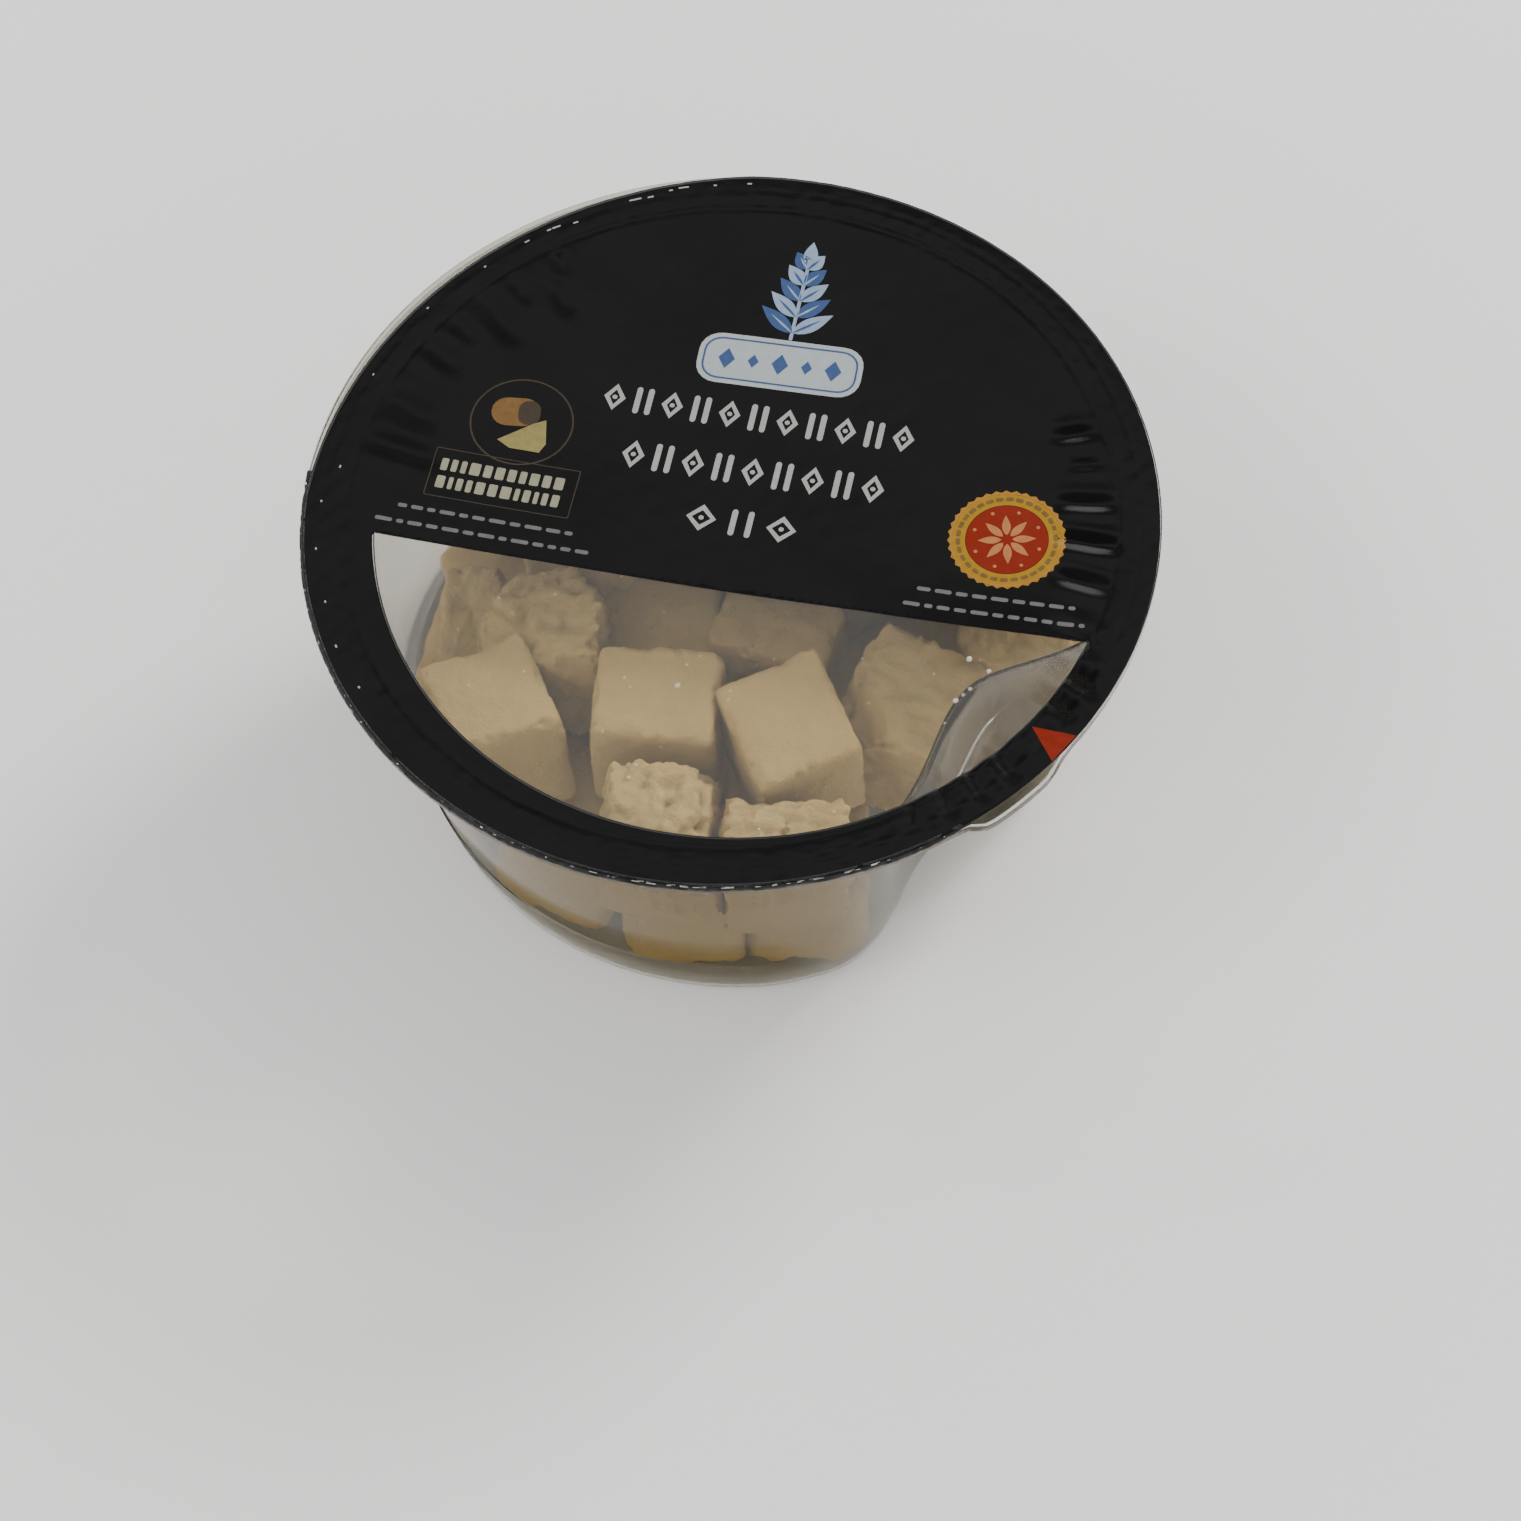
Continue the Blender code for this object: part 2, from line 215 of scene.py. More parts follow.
def add_skin(name, points, faces, finish, thickness, smooth=True, rim=True):
    """A sheet that looks up, with its thickness in millimetres below it."""
    made = add_mesh(name, points, faces, finish, smooth)
    face_outward(made, up=True)
    thick = made.modifiers.new("thickness", "SOLIDIFY")
    thick.thickness = thickness * MM
    thick.offset = -1
    thick.use_rim = rim
    return made


def lists_of(bm):
    """Points and faces of a bmesh, which is freed."""
    bm.verts.index_update()
    points = [v.co.copy() for v in bm.verts]
    faces = [tuple(v.index for v in f.verts) for f in bm.faces]
    bm.free()
    return points, faces


def join(parts):
    """Points and faces of several parts as those of one."""
    points = []
    faces = []
    for own_points, own_faces in parts:
        start = len(points)
        points += list(own_points)
        faces += [tuple(start + i for i in face) for face in own_faces]
    return points, faces


def strip_faces(first, second, steps):
    """Faces between two closed rows, each given by the number of its first point."""
    return [(first + i, first + (i + 1) % steps, second + (i + 1) % steps, second + i)
            for i in range(steps)]


def round_row(radius, angle, height):
    """Points round the axis."""
    return np.stack([radius * np.cos(angle), radius * np.sin(angle), height], 1)


def turned_rows(rows, steps):
    """Points and faces of closed rows round the axis, each a pair of radii and heights by angle."""
    angle = 2 * pi * np.arange(steps) / steps
    points = []
    faces = []
    for number, (radius_at, height_at) in enumerate(rows):
        points.append(round_row(radius_at(angle) + 0 * angle, angle, height_at(angle) + 0 * angle))
        if number:
            faces += strip_faces((number - 1) * steps, number * steps, steps)
    return np.concatenate(points), faces


def level(value):
    return lambda angle: value


def make_cup(finish):
    """The clear thermoformed cup: flange, fluted wall, foot band and raised foot panel."""
    under = FLANGE_TOP - SHEET_T
    rim_foot = FLANGE_TOP - LIP_DEPTH
    floor = SHEET_T + PANEL_RISE

    def band_low(angle):
        return BAND_DIVE_HEIGHT + (BAND_HEIGHT - BAND_DIVE_HEIGHT) * band_fade(angle)

    def band_top(angle):
        return band_low(angle) + BAND_BLEND

    def step_out(angle):
        return BAND_STEP * band_fade(angle)

    def by_wall(z_at, outward):
        return (lambda a: wall_radius(a, z_at(a)) + outward(a)), z_at

    def corner(share, bend, inward):
        """A row of the round corner between the wall and the foot."""
        turn = share * pi / 2
        back = bend * (1 - cos(turn)) + inward
        height_at = level(CORNER_R - bend * sin(turn))
        return (lambda a: wall_radius(a, CORNER_R) + step_out(a) - back), height_at

    def wall(thick, top):
        """The wall from the mouth's corner down to the foot corner."""
        rows = [by_wall(level(top), level(-thick))]
        for share in (0.25, 0.5, 0.75):
            rows.append(by_wall(lambda a, s=share: top + (band_top(a) - top) * s, level(-thick)))
        rows.append(by_wall(band_top, level(-thick)))
        rows.append(by_wall(lambda a: (band_top(a) + band_low(a)) / 2, lambda a: step_out(a) * 0.5 - thick))
        rows.append(by_wall(band_low, lambda a: step_out(a) - thick))
        return rows

    def stepped(z, share=1.0):
        return lambda a: z - LEDGE_DROP * share * ledge_share(a)

    def ledge_side(inward, z):
        """Rows of the step at the pull corner, from the seal outward."""
        return [(lambda a, s=share: ledge_radius(a) + LEDGE_RUN * s - inward, stepped(z, drop))
                for share, drop in LEDGE_SHAPE]

    def panel(shares, z):
        """Rows of the raised panel under the foot."""
        return [(lambda a, s=share: (wall_radius(a, 0) - PANEL_EDGE_IN) * s, level(z)) for share in shares]

    outer = [
        (level(RIM_R), stepped(FLANGE_TOP - 0.15)),
        (level(RIM_R), stepped(rim_foot + RIM_BEND)),
        (level(RIM_R - RIM_BEND), stepped(rim_foot)),
        (level(RIM_R - SHEET_T), stepped(rim_foot)),
        (level(RIM_R - SHEET_T - 0.1), stepped(under)),
        *ledge_side(SHEET_T, under)[::-1],
        by_wall(level(under), level(MOUTH_CORNER)),
        by_wall(level(under - 0.25), level(0.3)),
        *wall(0, under - MOUTH_CORNER),
        *(corner(share, CORNER_R, 0) for share in CORNER_SHARES),
        by_wall(level(0), level(-FOOT_RING_IN)),
        by_wall(level(PANEL_RISE), level(-PANEL_EDGE_IN)),
        *panel((0.6, 0.2, 0.01), PANEL_RISE),
    ]
    inner = [
        *panel((0.01, 0.2, 0.6), floor),
        by_wall(level(floor), level(-PANEL_EDGE_IN - 0.1)),
        by_wall(level(SHEET_T), level(-FOOT_RING_IN + 0.1)),
        *(corner(share, CORNER_R - SHEET_T, SHEET_T) for share in CORNER_SHARES[::-1]),
        *wall(SHEET_T, FLANGE_TOP - MOUTH_CORNER)[::-1],
        by_wall(level(FLANGE_TOP - 0.3), level(-SHEET_T + 0.35)),
        (mouth_radius, level(FLANGE_TOP)),
        *ledge_side(0, FLANGE_TOP),
        (level(RIM_R - RIM_BEND), stepped(FLANGE_TOP)),
    ]
    rows = outer + inner
    middle = len(outer) - 1
    points, faces = turned_rows(rows, CUP_STEPS)
    faces += strip_faces((len(rows) - 1) * CUP_STEPS, 0, CUP_STEPS)
    # The two rows in the middle of the foot are closed by a face each, with no strip between them
    faces = [f for f in faces if (f[0] // CUP_STEPS, f[2] // CUP_STEPS) != (middle, middle + 1)]
    faces.append(tuple(middle * CUP_STEPS + i for i in range(CUP_STEPS)))
    faces.append(tuple((middle + 1) * CUP_STEPS + i for i in reversed(range(CUP_STEPS))))
    made = add_mesh("clear_cup", points, faces, finish)
    face_outward(made)
    made.data.set_sharp_from_angle(angle=radians(50))
    return made


# Film

# Puckers pressed into the film: angle in degrees, inner and outer radius, half width, depth
PUCKERS = (
    (177.5, 40.0, 51.5, 1.3, 0.17),
    (169.5, 43.0, 51.0, 1.7, 0.19),
    (157.5, 44.5, 51.5, 1.5, 0.16),
    (151.5, 46.0, 51.0, 1.2, 0.14),
    (145.5, 41.0, 51.0, 1.8, 0.22),
    (139.5, 45.5, 50.5, 1.2, 0.15),
    (134, 40.5, 46.5, 1.49, 0.23),
    (131, 46.5, 50.5, 0.92, 0.23),
    (25.6, 45.0, 50.5, 0.90, 0.28),
    (19.5, 46.0, 50.0, 0.70, 0.20),
    (12, 44.0, 51.0, 0.90, 0.40),
    (4.4, 43.5, 51.5, 1.00, 0.44),
    (-3.2, 44.5, 51.5, 1.00, 0.44),
    (-14, 46.5, 53.0, 1.51, 0.24),
    (-19.5, 48.0, 56.0, 1.5, 0.30),
    (-24.5, 48.5, 56.0, 1.3, 0.28),
    (-36.5, 49.0, 56.0, 1.5, 0.30),
    (-41.5, 49.5, 56.0, 1.3, 0.30),
    (-46.5, 49.5, 55.5, 1.3, 0.26),
    (-52, 50.0, 55.0, 1.3, 0.20),
)
PUCKER_SLANT = 0.5
PUCKER_RIDGE = 0.35
PUCKER_RIDGE_AT = 2.0
PUCKER_ENDS = 1.2
SEAL_RING_R = 51.6
SEAL_RING_W = 0.32
SEAL_RING_DEPTH = 0.09
SEAL_BEAD_R = 54.6
SEAL_BEAD_SHARE = 0.6
CRINKLE_HEIGHT = 0.028
CRINKLE_FROM_R = 50.0
CRINKLE_RAMP = 2.0
FINE_CRINKLE = 0.012
SAG_WAVE = 0.16
FILM_SLACK = 0.6


def crinkle(x, y, seed, longest, shortest, waves=14):
    """Smooth random relief between -1 and 1 with wavelengths in millimetres."""
    draw = Random(seed)
    total = 0
    for _ in range(waves):
        length = draw.uniform(shortest, longest)
        way = draw.uniform(0, 2 * pi)
        total = total + np.sin((x * cos(way) + y * sin(way)) * 2 * pi / length + draw.uniform(0, 2 * pi))
    return total / (waves * 0.5) ** 0.5 / 2


def film_height(x, y):
    """Height of the film's top in millimetres: seated on the flange, dished and puckered."""
    radius = np.hypot(x, y)
    angle = np.arctan2(y, x)
    share = np.clip(radius / mouth_radius(angle), 0, 1)
    height = FILM_SEAT + FILM_T - FILM_DISH * (1 - share * share)
    height = height + SAG_WAVE * (1 - share ** 4) * crinkle(x, y, 5, 60, 28)
    for turn, near, far, half, depth in PUCKERS:
        along = (radius - (near + far) / 2) / ((far - near) / 2)
        across = turn_from(angle, radians(turn)) * radius / half + PUCKER_SLANT * along
        fold = np.exp(-across ** 2) - PUCKER_RIDGE * np.exp(-(np.abs(across) - PUCKER_RIDGE_AT) ** 2)
        height = height - depth * fold * np.exp(-(along ** 4) * PUCKER_ENDS)
    for ring, depth in ((SEAL_RING_R, SEAL_RING_DEPTH), (SEAL_BEAD_R, SEAL_RING_DEPTH * SEAL_BEAD_SHARE)):
        height = height - depth * np.exp(-((radius - ring) / SEAL_RING_W) ** 2)
    band = np.clip((radius - CRINKLE_FROM_R) / CRINKLE_RAMP, 0, 1)
    rough = crinkle(x, y, 9, 3.2, 1.3)
    height = height + CRINKLE_HEIGHT * band * rough + FINE_CRINKLE * crinkle(x, y, 12, 6.0, 3.0)
    return np.maximum(height, FILM_SEAT - FILM_DISH - FILM_SLACK)


def film_edge_distance(turn):
    """Distance from the window arc's middle to the film's edge in a direction."""
    mx, my = WINDOW_MIDDLE
    along = mx * np.cos(turn) + my * np.sin(turn)
    off = turn_from(turn, FILM_SHORT_ANGLE)
    short = FILM_SHORT * np.clip(1 - (off / FILM_SHORT_SPREAD) ** 2, 0, 1)
    return -along + np.sqrt(along ** 2 + (FILM_R - short) ** 2 - mx * mx - my * my)


# Profile of the drawn-down edge: outward from the flange, share of the depth, share of the dents
LIP_PROFILE = (
    (-0.75, -0.04, 0.0), (-0.50, -0.04, 0.0), (-0.32, 0.03, 0.3), (-0.18, 0.14, 1.0),
    (-0.08, 0.32, 1.0), (-0.03, 0.6, 1.0), (-0.04, 1.0, 0.6),
)
GLINT_PROFILE = ((-0.31, 0.03, 0.3), (-0.18, 0.14, 1.0))
GLINT_LIFT = 0.025


def lip_rows(turn, profile, lift=0.0):
    """Rows of points along the film's drawn-down edge, one row for each point of a profile."""
    ends = np.clip(np.minimum(turn - LIP_FROM, LIP_TO - turn) / LIP_FADE, 0.05, 1)
    ragged = crinkle(turn * FLANGE_R, 0 * turn, 31, 7.0, 1.6)
    deep = (LIP_DOWN + LIP_RAGGED * ragged) * ends
    pressed = LIP_DENTS * crinkle(turn * FLANGE_R, 0 * turn, 33, 2.6, 0.8)
    top = FILM_SEAT + FILM_T
    rows = []
    for out, down, share in profile:
        radius = FLANGE_R + out + np.minimum(pressed * share, 0) + lift
        height = top - deep * down + LIP_CURL * ragged * (down > 0.9) + lift
        rows.append(round_row(radius, turn, height))
    return rows


def open_strips(rows):
    """Faces between rows that aren't closed round the axis."""
    count = len(rows[0])
    return [(first + i, first + i + 1, first + count + i + 1, first + count + i)
            for first in range(0, (len(rows) - 1) * count, count) for i in range(count - 1)]


def make_film_lip(finish):
    """The film's edge, drawn down over the flange where the front of the tub shows it."""
    rows = lip_rows(np.linspace(LIP_FROM, LIP_TO, LIP_STEPS), LIP_PROFILE)
    return add_skin("film_lip", np.concatenate(rows), open_strips(rows), finish, LIP_T)


# Painted glints: short white slivers along the lip that stand in for highlights; from and to in degrees,
# longest sliver and gap in millimetres
PAINTED_GLINT_SLIVERS = ((-174, -96, 0.5, 8.0), (-96, -58, 2.4, 2.8), (-58, -50, 0.5, 5.0))
SHORTEST_SLIVER = 0.2
SHORTEST_GAP = 0.25
SLIVER_STEPS = 7
SLIVER_T = 0.03


def make_painted_glint_slivers(finish):
    """Short white slivers along the lip, painted highlights in place of glints."""
    # The slivers are painted highlights: pale pieces where the rim would glint
    draw = Random(61)
    slivers = []
    for first, last, longest, widest_gap in PAINTED_GLINT_SLIVERS:
        turn = radians(first)
        while turn < radians(last):
            length = draw.uniform(SHORTEST_SLIVER, longest) / FLANGE_R
            rows = lip_rows(np.linspace(turn, turn + length, SLIVER_STEPS), GLINT_PROFILE, GLINT_LIFT)
            slivers.append((np.concatenate(rows), open_strips(rows)))
            turn += length + draw.uniform(SHORTEST_GAP, widest_gap) / FLANGE_R
    points, faces = join(slivers)
    return add_skin("film_painted_glint_slivers", points, faces, finish, SLIVER_T)


def make_film(print_finish, clear_finish):
    """The film as one skin of rows round the window's arc, cut along the window's top edge."""
    mx, my = WINDOW_MIDDLE
    turn = 2 * pi * np.arange(FILM_STEPS) / FILM_STEPS
    edge = film_edge_distance(turn)
    rows = [WINDOW_ARC_R * (i + 1) / INNER_ROWS + 0 * turn for i in range(INNER_ROWS)]
    rows += [WINDOW_ARC_R + (edge - WINDOW_ARC_R) * (i + 1) / BAND_ROWS for i in range(BAND_ROWS)]
    bm = bmesh.new()
    bm.verts.new((mx, my, 0.0))
    for row in rows:
        for r, t in zip(row, turn):
            bm.verts.new((mx + r * cos(t), my + r * sin(t), 0.0))
    faces = [(0, 1 + i, 1 + (i + 1) % FILM_STEPS) for i in range(FILM_STEPS)]
    for number in range(len(rows) - 1):
        faces += strip_faces(1 + number * FILM_STEPS, 1 + (number + 1) * FILM_STEPS, FILM_STEPS)
    bm.verts.ensure_lookup_table()
    for face in faces:
        bm.faces.new([bm.verts[i] for i in face])
    bmesh.ops.bisect_plane(bm, geom=bm.verts[:] + bm.edges[:] + bm.faces[:], dist=1e-4,
                           plane_co=(0, WINDOW_TOP_Y, 0), plane_no=(0, 1, 0))
    flat = np.array([v.co[:] for v in bm.verts])
    for vertex, height in zip(bm.verts, film_height(flat[:, 0], flat[:, 1])):
        vertex.co.z = height
    window = set()
    for face in bm.faces:
        middle = face.calc_center_median()
        if middle.y < WINDOW_TOP_Y and hypot(middle.x - mx, middle.y - my) < WINDOW_ARC_R:
            window.add(face.index)
    made = []
    bm.faces.ensure_lookup_table()
    for name, finish, wanted in (("film_print", print_finish, False), ("film_window", clear_finish, True)):
        part = bm.copy()
        part.faces.ensure_lookup_table()
        spare = [f for f in part.faces if (f.index in window) != wanted]
        bmesh.ops.delete(part, geom=spare, context="FACES")
        points, faces = lists_of(part)
        made.append(add_skin(name, points, faces, finish, FILM_T, rim=not wanted))
    bm.free()
    return made


# Print on the film: flat shapes in millimetres on the plan, laid on the film's relief

INK_LIFT = 0.03
INK_T = 0.015


class Ink:
    """Flat shapes of one ink, each with its layer above the film."""

    def __init__(self):
        self.points = []
        self.faces = []

    def add(self, points, faces, layer):
        start = len(self.points)
        self.points += [(x, y, layer) for x, y in points]
        self.faces += [tuple(start + i for i in face) for face in faces]

    def band(self, outer, inner, layer=1):
        """A closed band between two outlines with the same number of points."""
        count = len(outer)
        self.add(list(outer) + list(inner), strip_faces(0, count, count), layer)

    def fill(self, outline, layer=1, rings=4):
        """A filled outline, in rings towards its middle so that it follows the relief."""
        count = len(outline)
        mx = sum(p[0] for p in outline) / count
        my = sum(p[1] for p in outline) / count
        points = []
        faces = []
        for ring in range(rings):
            share = 1 - ring / rings
            points += [(mx + (x - mx) * share, my + (y - my) * share) for x, y in outline]
            if ring:
                faces += strip_faces((ring - 1) * count, ring * count, count)
        end = len(points)
        points.append((mx, my))
        faces += [(end - count + i, end - count + (i + 1) % count, end) for i in range(count)]
        self.add(points, faces, layer)

    def lay(self, name, finish):
        """The ink's shapes as one thin piece on the film's relief."""
        flat = np.array(self.points)
        height = film_height(flat[:, 0], flat[:, 1]) + INK_LIFT * flat[:, 2]
        return add_skin(name, np.column_stack([flat[:, :2], height]), self.faces, finish, INK_T, smooth=False)


# Painted glints on the seal ring, pale dabs in place of highlights: angle in degrees, radius and length in
# millimetres
PAINTED_SEAL_GLINTS = (
    (133.4, 54.4, 0.8), (129.6, 54.6, 0.7), (128.4, 54.6, 1.3), (125.5, 54.1, 0.8), (115.9, 55.1, 1.8),
    (113.6, 55.0, 0.9), (110.5, 55.6, 0.6), (108.6, 55.8, 1.5), (104.0, 55.7, 0.5), (99.0, 55.9, 0.7),
    (141.0, 54.2, 0.4), (152.0, 54.6, 0.4), (166.0, 54.3, 0.4), (-177.2, 53.2, 0.5), (-171.0, 54.8, 0.4),
    (-163.0, 55.2, 0.4), (-154.0, 54.9, 0.4), (-146.5, 55.3, 0.5), (-139.0, 55.0, 0.4),
)
SEAL_GLINT_WIDTH = 0.26
SEAL_GLINT_BEND = 0.12


def make_painted_seal_glints(finish):
    """Tiny pale dabs on the seal ring, painted highlights in place of its glints."""
    spots = Ink()
    for angle, radius, length in PAINTED_SEAL_GLINTS:
        dab = rounded_box(length, SEAL_GLINT_WIDTH, SEAL_GLINT_BEND, 2)
        spots.fill(set_round(dab, 0, 0, radius, radians(angle), pi / 2), 1, 1)
    return spots.lay("film_painted_seal_glints", finish)


def moved(outline, x, y, turn=0.0):
    c, s = cos(turn), sin(turn)
    return [(x + px * c - py * s, y + px * s + py * c) for px, py in outline]


def set_round(outline, x, y, radius, turn, spin=0.0):
    """An outline at a distance from a middle, turned with its direction."""
    return moved(outline, x + radius * cos(turn), y + radius * sin(turn), turn + spin)


def circle(radius, steps=48):
    return [(radius * cos(2 * pi * i / steps), radius * sin(2 * pi * i / steps)) for i in range(steps)]


def rounded_box(width, height, bend, steps=5):
    """Outline of a box with round corners, with points along its long sides."""
    outline = []
    along = 12
    corner_x = width / 2 - bend
    corner_y = height / 2 - bend
    for sx, sy, quarter in ((1, 1, 0), (-1, 1, 1), (-1, -1, 2), (1, -1, 3)):
        for i in range(steps + 1):
            a = (quarter + i / steps) * pi / 2
            outline.append((sx * corner_x + bend * cos(a), sy * corner_y + bend * sin(a)))
        if quarter in (0, 2):
            x, y = outline[-1]
            outline += [(x - 2 * x * i / along, y) for i in range(1, along)]
    return outline


def polygon(corners, cuts):
    """Outline of a polygon with points along its sides."""
    outline = []
    for (ax, ay), (bx, by) in zip(corners, corners[1:] + corners[:1]):
        outline += [(ax + (bx - ax) * k / cuts, ay + (by - ay) * k / cuts) for k in range(cuts)]
    return outline


def lozenge(width, height):
    return polygon(((width / 2, 0), (0, height / 2), (-width / 2, 0), (0, -height / 2)), 4)


def leaf(length, width, steps=9):
    """Leaf outline from its stalk at the origin, along +X."""
    top = [(length * i / steps, width / 2 * sin(pi * (i / steps) ** 0.8)) for i in range(steps + 1)]
    low = [(x, -y) for x, y in top[1:-1]]
    return low + top[::-1]


def dashes(ink, x_from, x_to, y, height, seed, layer=1):
    """A row of short plain bars in place of small print."""
    draw = Random(seed)
    x = x_from
    while x < x_to - height:
        length = min(draw.uniform(0.9, 2.4), x_to - x)
        ink.fill(moved(rounded_box(length, height, height * 0.45, 3), x + length / 2, y), layer, 2)
        x += length + height * 0.9


def ornament_row(ink, x_from, x_to, y, height, count):
    """A row of outlined lozenges and pairs of bars by turns, in place of a line of large print."""
    pitch = (x_to - x_from) / (count - 0.25)
    width = pitch * 0.75
    for i in range(count):
        x = x_from + width / 2 + pitch * i
        if i % 2 == 0:
            hollow = lozenge(width - 1.5, height - 1.9)
            ink.band(moved(lozenge(width, height), x, y), moved(hollow, x, y))
            ink.fill(moved(circle(0.36, 12), x, y), 1, 1)
        else:
            bar = rounded_box(height, 0.8, 0.38, 2)
            for side in (-1, 1):
                ink.fill(moved(bar, x + side * width * 0.27, y, pi / 2), 1, 2)


# Middles of the larger shapes, with a width and height or a radius, and the plaque's tilt
PLAQUE = (1.6, 25.5, 22.8, 8.3, radians(1.5))
MEDALLION = (-31.0, 9.7, 7.1)
NAME_PLATE = (-31.2, -0.6, 20.0, 8.0)
ROUNDEL = (36.95, 2.5, 7.9)

# Lighter and darker tone of each ink, in the order in which they are laid
INK_TONES = {
    "pale": ((0.33, 0.33, 0.325), (0.27, 0.27, 0.265)),
    "faint": ((0.135, 0.135, 0.13), (0.095, 0.095, 0.092)),
    "silver": ((0.29, 0.28, 0.20), (0.20, 0.19, 0.13)),
    "cream": ((0.36, 0.395, 0.415), (0.32, 0.35, 0.365)),
    "blue": ((0.045, 0.085, 0.20), (0.035, 0.065, 0.16)),
    "sky": ((0.25, 0.33, 0.44), (0.20, 0.27, 0.37)),
    "gold": ((0.17, 0.095, 0.032), (0.12, 0.065, 0.022)),
    "brown": ((0.050, 0.038, 0.026), (0.035, 0.027, 0.019)),
    "straw": ((0.26, 0.22, 0.085), (0.19, 0.155, 0.055)),
    "yellow": ((0.33, 0.185, 0.010), (0.27, 0.145, 0.007)),
    "red": ((0.20, 0.013, 0.002), (0.165, 0.010, 0.0015)),
    "coral": ((0.42, 0.17, 0.06), (0.34, 0.13, 0.045)),
}


def make_print(inks):
    """All shapes printed on the black film."""
    shapes = {name: Ink() for name in INK_TONES}
    pale, faint, silver, cream, blue, sky, gold, brown, straw, yellow, red, coral = shapes.values()

    # Plaque with a row of small lozenges, and a sprig above it
    px, py, width, height, tilt = PLAQUE
    cream.fill(moved(rounded_box(width, height, 3.0), px, py, tilt), 1, 7)
    blue.band(moved(rounded_box(width - 1.4, height - 1.4, 2.4), px, py, tilt),
              moved(rounded_box(width - 1.9, height - 1.9, 2.2), px, py, tilt), 2)
    for i in range(5):
        step = (i - 2) * 3.7
        mark = lozenge(2.3, 3.4) if i % 2 == 0 else lozenge(1.5, 2.2)
        blue.fill(moved(mark, px + step * cos(tilt), py + step * sin(tilt)), 2, 2)
    stem_x = px + 0.6
    sky.fill(moved(rounded_box(0.5, 13.5, 0.2, 2), stem_x, 36.5), 1, 2)
    for i in range(5):
        y = 31.0 + i * 2.75
        length = 6.4 - i * 0.75
        for side in (-1, 1):
            way = pi / 2 - side * radians(52 - i * 4)
            ink = sky if (i + (side > 0)) % 2 else blue
            ink.fill(moved(leaf(length, 2.3), stem_x, y, way), 1, 2)
            vein = sky if ink is blue else blue
            vein.fill(moved(leaf(length * 0.7, 0.35), stem_x, y, way), 2, 1)
    sky.fill(moved(leaf(4.2, 2.0), stem_x, 42.6, pi / 2), 1, 2)

    # Three rows of ornament
    ornament_row(pale, -21.0, 22.0, 16.3, 4.4, 11)
    ornament_row(pale, -16.5, 19.5, 7.5, 4.6, 9)
    ornament_row(pale, -5.8, 9.2, -1.0, 4.3, 3)

    # Medallion with a plain wedge, and the outlined plate under it
    mx, my, radius = MEDALLION
    brown.band(moved(circle(radius), mx, my), moved(circle(radius - 0.25), mx, my))
    gold.fill(moved(rounded_box(6.6, 4.6, 2.2), mx - 1.2, my + 1.5, radians(8)), 1, 3)
    brown.fill(moved(rounded_box(3.0, 3.9, 1.4), mx + 0.7, my + 1.7, radians(8)), 2, 2)
    wedge = [(-3.4, -1.6), (-1.4, -2.5), (2.7, -2.2), (3.2, -0.6), (2.1, 3.2), (0.6, 2.2)]
    straw.fill(moved(wedge, mx + 0.9, my - 2.1, radians(-4)), 3, 2)
    nx, ny, plate_w, plate_h = NAME_PLATE
    brown.band(moved(rounded_box(plate_w, plate_h, 0.3, 2), nx, ny),
               moved(rounded_box(plate_w - 0.3, plate_h - 0.3, 0.2, 2), nx, ny))
    for row_y, seed in ((1.4, 41), (-1.5, 42)):
        draw = Random(seed)
        x = nx - plate_w / 2 + 1.2
        while x < nx + plate_w / 2 - 2.2:
            length = draw.uniform(0.6, 1.5)
            silver.fill(moved(rounded_box(length, 2.0, 0.2, 2), x + length / 2, ny + row_y), 1, 1)
            x += length + 0.5
    dashes(faint, -44.0, -20.0, -6.9, 0.62, 51)
    dashes(faint, -46.5, -16.5, -9.5, 0.62, 52)

    # Round badge: notched yellow ring, red middle and a plain rosette
    rx, ry, radius = ROUNDEL
    notched = [(r * cos(2 * pi * i / 72), r * sin(2 * pi * i / 72))
               for i, r in enumerate([radius, radius - 0.35] * 36)]
    yellow.band(moved(notched, rx, ry), moved(circle(radius * 0.70, 72), rx, ry))
    coral.band(moved(circle(radius * 0.955, 72), rx, ry), moved(circle(radius * 0.93, 72), rx, ry), 2)
    red.fill(moved(circle(radius * 0.69, 72), rx, ry), 1, 6)
    for i in range(30):
        gold.fill(set_round(rounded_box(0.55, 1.0, 0.15, 2), rx, ry, radius * 0.82, 2 * pi * i / 30), 2, 1)
    for i in range(8):
        turn = 2 * pi * i / 8 + 0.2
        coral.fill(set_round(leaf(3.2, 1.15), rx, ry, 0.7, turn), 2, 1)
        dot_x = rx + 4.55 * cos(turn + pi / 8)
        dot_y = ry + 4.55 * sin(turn + pi / 8)
        coral.fill(moved(circle(0.26, 10), dot_x, dot_y), 2, 1)
    dashes(faint, 26.6, 47.6, -7.1, 0.62, 53)
    dashes(faint, 25.2, 49.2, -9.7, 0.62, 54)

    # Red pull mark at the corner
    red.fill(polygon(((44.95, -26.0), (50.75, -26.3), (48.3, -30.6)), 10), 1, 10)

    return [shape.lay("print_" + name, inks[name]) for name, shape in shapes.items()]


# Chunks of cheese

# Top corners that stand up in a point: by the chunk's seed, the corner and how far it stands out
PEAKS = {11: ((1, 1, 1), 1.6), 14: ((1, 1, 1), 1.5)}
PEAK_REACH = 0.38

